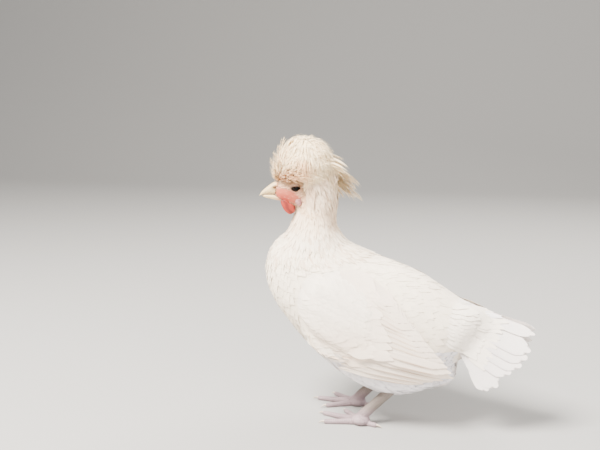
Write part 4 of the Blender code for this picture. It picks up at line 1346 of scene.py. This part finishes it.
def lesser_coverts(coat, side, draw):
    """Small soft feathers over the wing's front, level with the body's coat at its edge."""
    ranges = (np.arange(low, high, LESSER_SPACING) for low, high in ((-92, 30), (76, 194)))
    spots = np.stack(np.meshgrid(*ranges, indexing="ij"), -1).reshape(-1, 2)
    spots = spots + draw.uniform(-0.45, 0.45, spots.shape) * LESSER_SPACING
    gap = edge_distance(spots, WING_GROUND)
    spots = spots[(gap > -8) & (spots[:, 0] < draw.uniform(-26, 2, len(spots)))]
    count = len(spots)
    angle = np.radians(LESSER_ANGLE + draw.normal(0, 5, count))
    reach = draw.uniform(*LESSER_LENGTH, count)
    tips = spots + np.stack([np.cos(angle), -np.sin(angle)], -1) * reach[:, None]
    t = np.linspace(0, 1, STATIONS)
    along = spots[:, None] + (tips - spots)[:, None] * t[None, :, None]
    inner = edge_distance(along.reshape(-1, 2), WING_GROUND).reshape(count, STATIONS)
    front = ramp(inner, -6, 14) * ramp(along[..., 0], -84, -50)
    high = mix(2.6, 1.5, ramp(along[..., 0], -40, 14))
    stands = mix(LESSER_SUNK, high, front) + LESSER_RISE * draw.uniform(0.8, 1.2, (count, 1))
    lines, outs = WING_SHEET.lines(spots, tips, stands, 0.0)
    lines, outs = lines * [side, 1, 1], outs * [side, 1, 1]
    # painted shade: coverts lower on the wing are warmer and darker, where less light falls
    low = ramp(-lines[:, -1, 2], -150, -85)
    tints = mix_rows(WING_WHITE, WING_WARM_SHADE, 0.8 * low) * draw.uniform(*WING_TINT_RANGE, (count, 1))
    coat.add(lines, outs, draw.uniform(5.6, 7.4, count), tints)


def build_wings(skin):
    """Lower and upper flight feathers, and coverts, for both wings."""
    lower, upper, coverts = (Coat(skin, form) for form in (WING_FORM, WING_FORM, COVERT_FORM))
    draw = np.random.default_rng(31)
    for side in (1, -1):
        for coat, (count, low, high, tilt) in (
            (lower, PRIMARIES), (lower, LOW_SECONDARIES), (upper, SECONDARIES)
        ):
            feathers = row(count, low, high, draw)
            tier(coat, WING_SHEET, side, feathers, tilt, *WING_LIE, draw, FLIGHT_STATIONS)
        for count, low, high, tilt in WING_COVERTS:
            feathers = row(count, low, high, draw, 4.5)
            tier(coverts, WING_SHEET, side, feathers, tilt, *WING_LIE, draw, STATIONS)
        lesser_coverts(coverts, side, draw)
    return (
        lower.mesh("wing_primaries", FLIGHT_PATCH, PRIMARY_EDGE_SHADE, 0.70),
        upper.mesh("wing_secondaries", FLIGHT_PATCH, SECONDARY_EDGE_SHADE, 0.6),
        coverts.mesh("wing_coverts"),
    )


def turned_down(spot, turn):
    y, z = spot[0] - TAIL_PIVOT[0], spot[1] - TAIL_PIVOT[1]
    return (
        TAIL_PIVOT[0] + y * math.cos(turn) + z * math.sin(turn),
        TAIL_PIVOT[1] - y * math.sin(turn) + z * math.cos(turn),
    )


def build_tail(skin):
    """Both halves of the tail, the left a little lower than the right, and their coverts."""
    flight, coverts = Coat(skin, TAIL_FORM), Coat(skin, COVERT_FORM)
    draw = np.random.default_rng(41)
    for side in (1, -1):
        turn = TAIL_TURN * side
        feathers = [(root, turned_down(tip, turn), width, 0) for root, tip, width in TAIL_FLIGHT]
        tier(flight, TAIL_SHEET, side, feathers, 0.1, *TAIL_LIE, draw, FLIGHT_STATIONS)
        for count, low, high, tilt in TAIL_COVERTS:
            feathers = row(count, low, high, draw, 1.5)
            tier(coverts, TAIL_SHEET, side, feathers, tilt, *TAIL_COVERT_LIE, draw, STATIONS, True)
    return flight.mesh("tail_flight", FLIGHT_PATCH, TAIL_EDGE_SHADE, 0.6), coverts.mesh("tail_coverts")


def build_saddle(skin):
    """Feathers along the ridge, where the back and both halves of the tail meet."""
    coat = Coat(skin, SADDLE_FORM)
    draw = np.random.default_rng(51)
    count = SADDLE_FEATHERS
    start, height, slope = TAIL_RIDGE
    ys = draw.uniform(*SADDLE_START, count)
    t = np.linspace(0, 1, STATIONS)
    y = ys[:, None] + draw.uniform(*SADDLE_LENGTH, (count, 1)) * t
    z = height - slope * (y - start) + 2.2 - 4.5 * (1 - t) ** 2 + draw.uniform(-0.4, 0.4, (count, 1))
    x = draw.uniform(-SADDLE_HALF, SADDLE_HALF, (count, 1)) + draw.normal(0, 1.2, (count, 1)) * t
    lines = np.stack([x, y, z - 0.09 * x * x], -1)
    outs = unit(np.stack([x * 0.2, np.full_like(x, slope), np.ones_like(x)], -1))
    widths = draw.uniform(6.0, 7.5, count)
    coat.add(lines, outs, widths, coat_tint(lines[:, -1]) * draw.uniform(*WING_TINT_RANGE, (count, 1)))
    return coat.mesh("saddle_feathers")


# Eyes, bill, wattles and lobes

def build_lid(centre, aim):
    """A ring of skin on the eyeball, round an oval opening, and how far out on it each point is."""
    made = bmesh.new()
    tube = bmesh.ops.create_circle(made, segments=10, radius=LID_THICKNESS * MM)["verts"]
    bmesh.ops.rotate(made, cent=(0, 0, 0), matrix=Matrix.Rotation(math.pi / 2, 3, "X"), verts=tube)
    bmesh.ops.translate(made, vec=((1 + LID_THICKNESS) * MM, 0, 0), verts=tube)
    bmesh.ops.spin(
        made, geom=made.verts[:] + made.edges[:], cent=(0, 0, 0), axis=(0, 0, 1),
        angle=2 * math.pi, steps=48, use_merge=True,
    )
    bmesh.ops.remove_doubles(made, verts=made.verts, dist=1e-7)
    bmesh.ops.recalc_face_normals(made, faces=made.faces)
    level = Vector((0, 0, 1)).cross(aim).normalized()
    up = aim.cross(level)
    long, tall = LID_SPAN
    outward = []
    for vert in made.verts:
        rho = math.hypot(vert.co.x, vert.co.y) / MM
        off = (rho - 1) * LID_BREADTH - LID_THICKNESS
        outward.append(off)
        angle = math.atan2(vert.co.y, vert.co.x)
        y, z = math.cos(angle) * (long + off), math.sin(angle) * (tall + off)
        depth = math.sqrt(max(EYE_RADIUS**2 - y * y - z * z, 1)) + vert.co.z / MM
        vert.co = centre + (level * y + up * z + aim * depth) * MM
    return made, np.array(outward)


def build_eye(side, look):
    """An eyeball with a clear bulge in front, in its lids."""
    made = ball(EYE, (EYE_RADIUS,) * 3, 48, 32)
    centre = Vector(place(EYE))
    aim = (Vector(place(LID_OPENING)) - centre).normalized()
    for vert in made.verts:
        out = (vert.co - centre).normalized()
        vert.co += out * (EYE_BULGE * MM * float(ramp(out.dot(aim), 0.72, 0.98)))
    lid, outward = build_lid(centre, aim)
    if side == "right":
        made, lid = mirrored(made), mirrored(lid)
        centre.x, aim.x = -centre.x, -aim.x
    centre = Vector(place(turned(unplace(centre))))
    aim = Matrix.Rotation(HEAD_TURN, 3, "Z") @ aim
    mesh = to_mesh(turn_head(made), "eyeball")
    shown(f"eyeball_{side}", mesh, eye_finish(f"eye_{side}", centre, aim), "eye", f"eye_{side}")
    mesh = to_mesh(turn_head(lid), "eyelid")
    set_tint(mesh, mix_rows(LID_DARK, LID_BROWN, ramp(outward, -0.35, 0.9)))
    shown(f"eyelid_{side}", mesh, look, "face_skin")


def build_bill(node, look):
    """The horn of one half of the bill, with a raised knob before the nostril and painted shade in the
    nostril's groove.
    """
    made = finer(node)
    back = unturned(spots_of(made))
    knob, pit, tan = (
        fading(both_sides(back), *spot) for spot in (NOSTRIL_KNOB, NOSTRIL_PIT, NOSTRIL_SHADE)
    )
    swell(made, 0.9 * knob - 0.7 * pit)
    mesh = to_mesh(made, node)
    # painted shade: the nostril's groove is darkened brown
    tint = mix_rows(BILL_IVORY, BILL_BROWN, 0.75 * tan)
    set_tint(mesh, mix_rows(tint, BILL_PINK, 0.8 * ramp(back[:, 1], -120, -112)))
    shown(f"{node}_horn", mesh, look, "horn", node)


def hang(made):
    """Draws a wattle out a little downwards and to the rear."""
    back = unturned(spots_of(made))
    low = np.clip(269 - back[:, 2], 0, None)[:, None]
    back += low * [0, 0.14, -0.16] + [0, 1, 0]
    for vert, spot in zip(made.verts, place(turned(back))):
        vert.co = spot


def build_comb(node, colours, look, slot):
    """A wattle or lobe with its folds, with painted shade in the troughs between them."""
    made = finer(node)
    if node.startswith("wattle"):
        hang(made)
    x, y, z = unturned(spots_of(made)).T
    wave = np.sin((y * 0.8 + z * 0.5) * 0.8 + 0.8 * np.sin(z * 0.5))
    swell(made, 0.22 * wave)
    mesh = to_mesh(made, node)
    # painted shade: the troughs of the folds take the darker colour
    set_tint(mesh, mix_rows(*colours, ramp(wave, -0.9, 0.5)))
    shown(f"{node}_skin", mesh, look, slot, node)


# Legs

def leg_lines(side, step, turn):
    """Centre lines of one leg's shank and toes, each as (start, end)."""
    joint, top = (np.array([side * x, y + step, z]) for x, y, z in (FOOT_JOINT, SHANK_TOP))
    foot = joint * [1, 1, 0] + [0, 0, 3]
    lines = [(joint, top)]
    for heading, length in TOES.values():
        angle = math.radians(turn + heading)
        ahead = np.array([-side * math.sin(angle), -math.cos(angle), 0])
        lines.append((foot + ahead * 4, foot + ahead * (length + 8)))
    return lines


def build_leg(name, side, step, turn, look):
    """One skin over a shank, its palm and its toes, which knows how far along each a point is."""
    nodes = [f"shank_{name}"] + [f"toe_{toe}_{name}" for toe in TOES]
    made = fused([closed_copy(node, LEG_JOIN) for node in nodes], LEG_VOXEL)
    soften(made, made.verts, 4)
    for vert in made.verts:
        vert.co.z = max(vert.co.z, 0.0)
    mesh = to_mesh(made, "leg")
    points = unplace(read(mesh.vertices, "co", 3))
    best = np.full(len(points), np.inf)
    places = np.zeros((len(points), 3), np.float32)
    for k, (start, end) in enumerate(leg_lines(side, step, turn)):
        reach = np.linalg.norm(end - start)
        axis = (end - start) / reach
        t = np.clip((points - start) @ axis, 0, reach)
        away = points - start - t[:, None] * axis
        gap = np.linalg.norm(away, axis=1) - (2.5 if k == 0 else 0)
        near = gap < best
        outward = np.array([0, -0.7, 0.7]) if k == 0 else np.array([0, 0, 1])
        best[near] = gap[near]
        places[near, 0] = t[near]
        places[near, 1] = (unit(away) @ outward)[near]
    keep(mesh, "scale_place", "FLOAT_VECTOR", "POINT", "vector", places)
    shown(f"leg_{name}", mesh, look, "scaled_skin", *nodes)


# The stage

def build_stage():
    """A floor that curves up into a rear wall, under four lamps."""
    floor = bmesh.new()
    bmesh.ops.create_grid(floor, x_segments=1, y_segments=1, size=FLOOR_HALF)
    rear = [edge for edge in floor.edges if all(vert.co.x < 0 for vert in edge.verts)]
    wall = bmesh.ops.extrude_edge_only(floor, edges=rear)["geom"]
    top = [item for item in wall if isinstance(item, bmesh.types.BMVert)]
    bmesh.ops.translate(floor, vec=(0, 0, FLOOR_HALF), verts=top)
    bmesh.ops.bevel(
        floor, geom=rear, offset=FLOOR_CURVE, offset_type="OFFSET", segments=16, profile=0.5,
        affect="EDGES", material=-1,
    )
    made = linked("floor", to_mesh(floor, "floor"))
    made.data.materials.append(Paint("floor").finish(Base_Color=rgb(*FLOOR_GREY), Roughness=0.9))
    world = bpy.data.worlds.new("studio")
    bpy.context.scene.world = world
    world.use_nodes = True
    sky = world.node_tree.nodes["Background"]
    sky.inputs[0].default_value = rgb(*WORLD_COLOUR)
    sky.inputs[1].default_value = WORLD_STRENGTH
    for name, spot, size, power, colour in LAMPS:
        light = bpy.data.lights.new(name, "AREA")
        light.size = size
        light.energy = power
        light.color = colour
        lamp = linked(name, light)
        lamp.location = spot
        lamp.rotation_euler = (LAMP_AIM - Vector(spot)).to_track_quat("-Z", "Y").to_euler()


def build_camera():
    camera = bpy.data.cameras.new("camera")
    camera.lens = CAMERA_LENS
    camera.sensor_width = CAMERA_SENSOR
    camera.clip_start = 0.01
    made = linked("camera", camera)
    made.location = place(CAMERA_PLACE)
    made.rotation_euler = (math.pi / 2 - CAMERA_PITCH, 0, CAMERA_BEARING)
    bpy.context.scene.camera = made


def build_plumage(skin):
    soft = feather_finish("contour", 26, 0.13, 0.75)
    vaned = feather_finish("flight", 90, 0.35, 0.55)
    shown("body_feathers", build_body_coat(skin), soft, "plumage")
    shown("thigh_feathers", build_thigh_coat(skin), soft, "plumage")
    shown("hackles", build_hackles(skin), soft, "plumage")
    shown("face_feathers", build_face_coat(skin), soft, "plumage")
    shown("crest_locks", build_crest(skin), soft, "crest_feather", "crest")
    shown("crest_falls", build_falls(skin), soft, "crest_feather")
    shown("crest_wisps", build_wisps(skin), soft, "crest_feather")
    lower, upper, coverts = build_wings(skin)
    shown("wing_primaries", lower, vaned, "flight_feather")
    shown("wing_secondaries", upper, vaned, "flight_feather", "wing_left", "wing_right")
    shown("wing_coverts", coverts, soft, "plumage")
    flight, coverts = build_tail(skin)
    shown("tail_flight", flight, vaned, "flight_feather", "tail_left", "tail_right")
    shown("tail_coverts", coverts, soft, "plumage")
    shown("saddle_feathers", build_saddle(skin), soft, "plumage")


def main():
    build_stage()
    build_camera()
    mesh = build_skin()
    unwrap(mesh)
    tint_skin(mesh)
    shown("skin", mesh, skin_finish(), "face_skin", *FLESH)
    build_plumage(Skin(mesh))
    comb, horn, scales, claw = comb_finish(), horn_finish(), scale_finish(), claw_finish()
    for side in ("left", "right"):
        build_eye(side, comb)
        build_comb(f"wattle_{side}", WATTLE_REDS, comb, "face_skin")
        build_comb(f"lobe_{side}", LOBE_PINKS, comb, "lobe_skin")
    for node in ("bill_upper", "bill_lower"):
        build_bill(node, horn)
    for leg in LEGS:
        build_leg(*leg, scales)
    for name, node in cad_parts.items():
        if name.startswith("claw"):
            node.material_slots[0].material = claw


main()
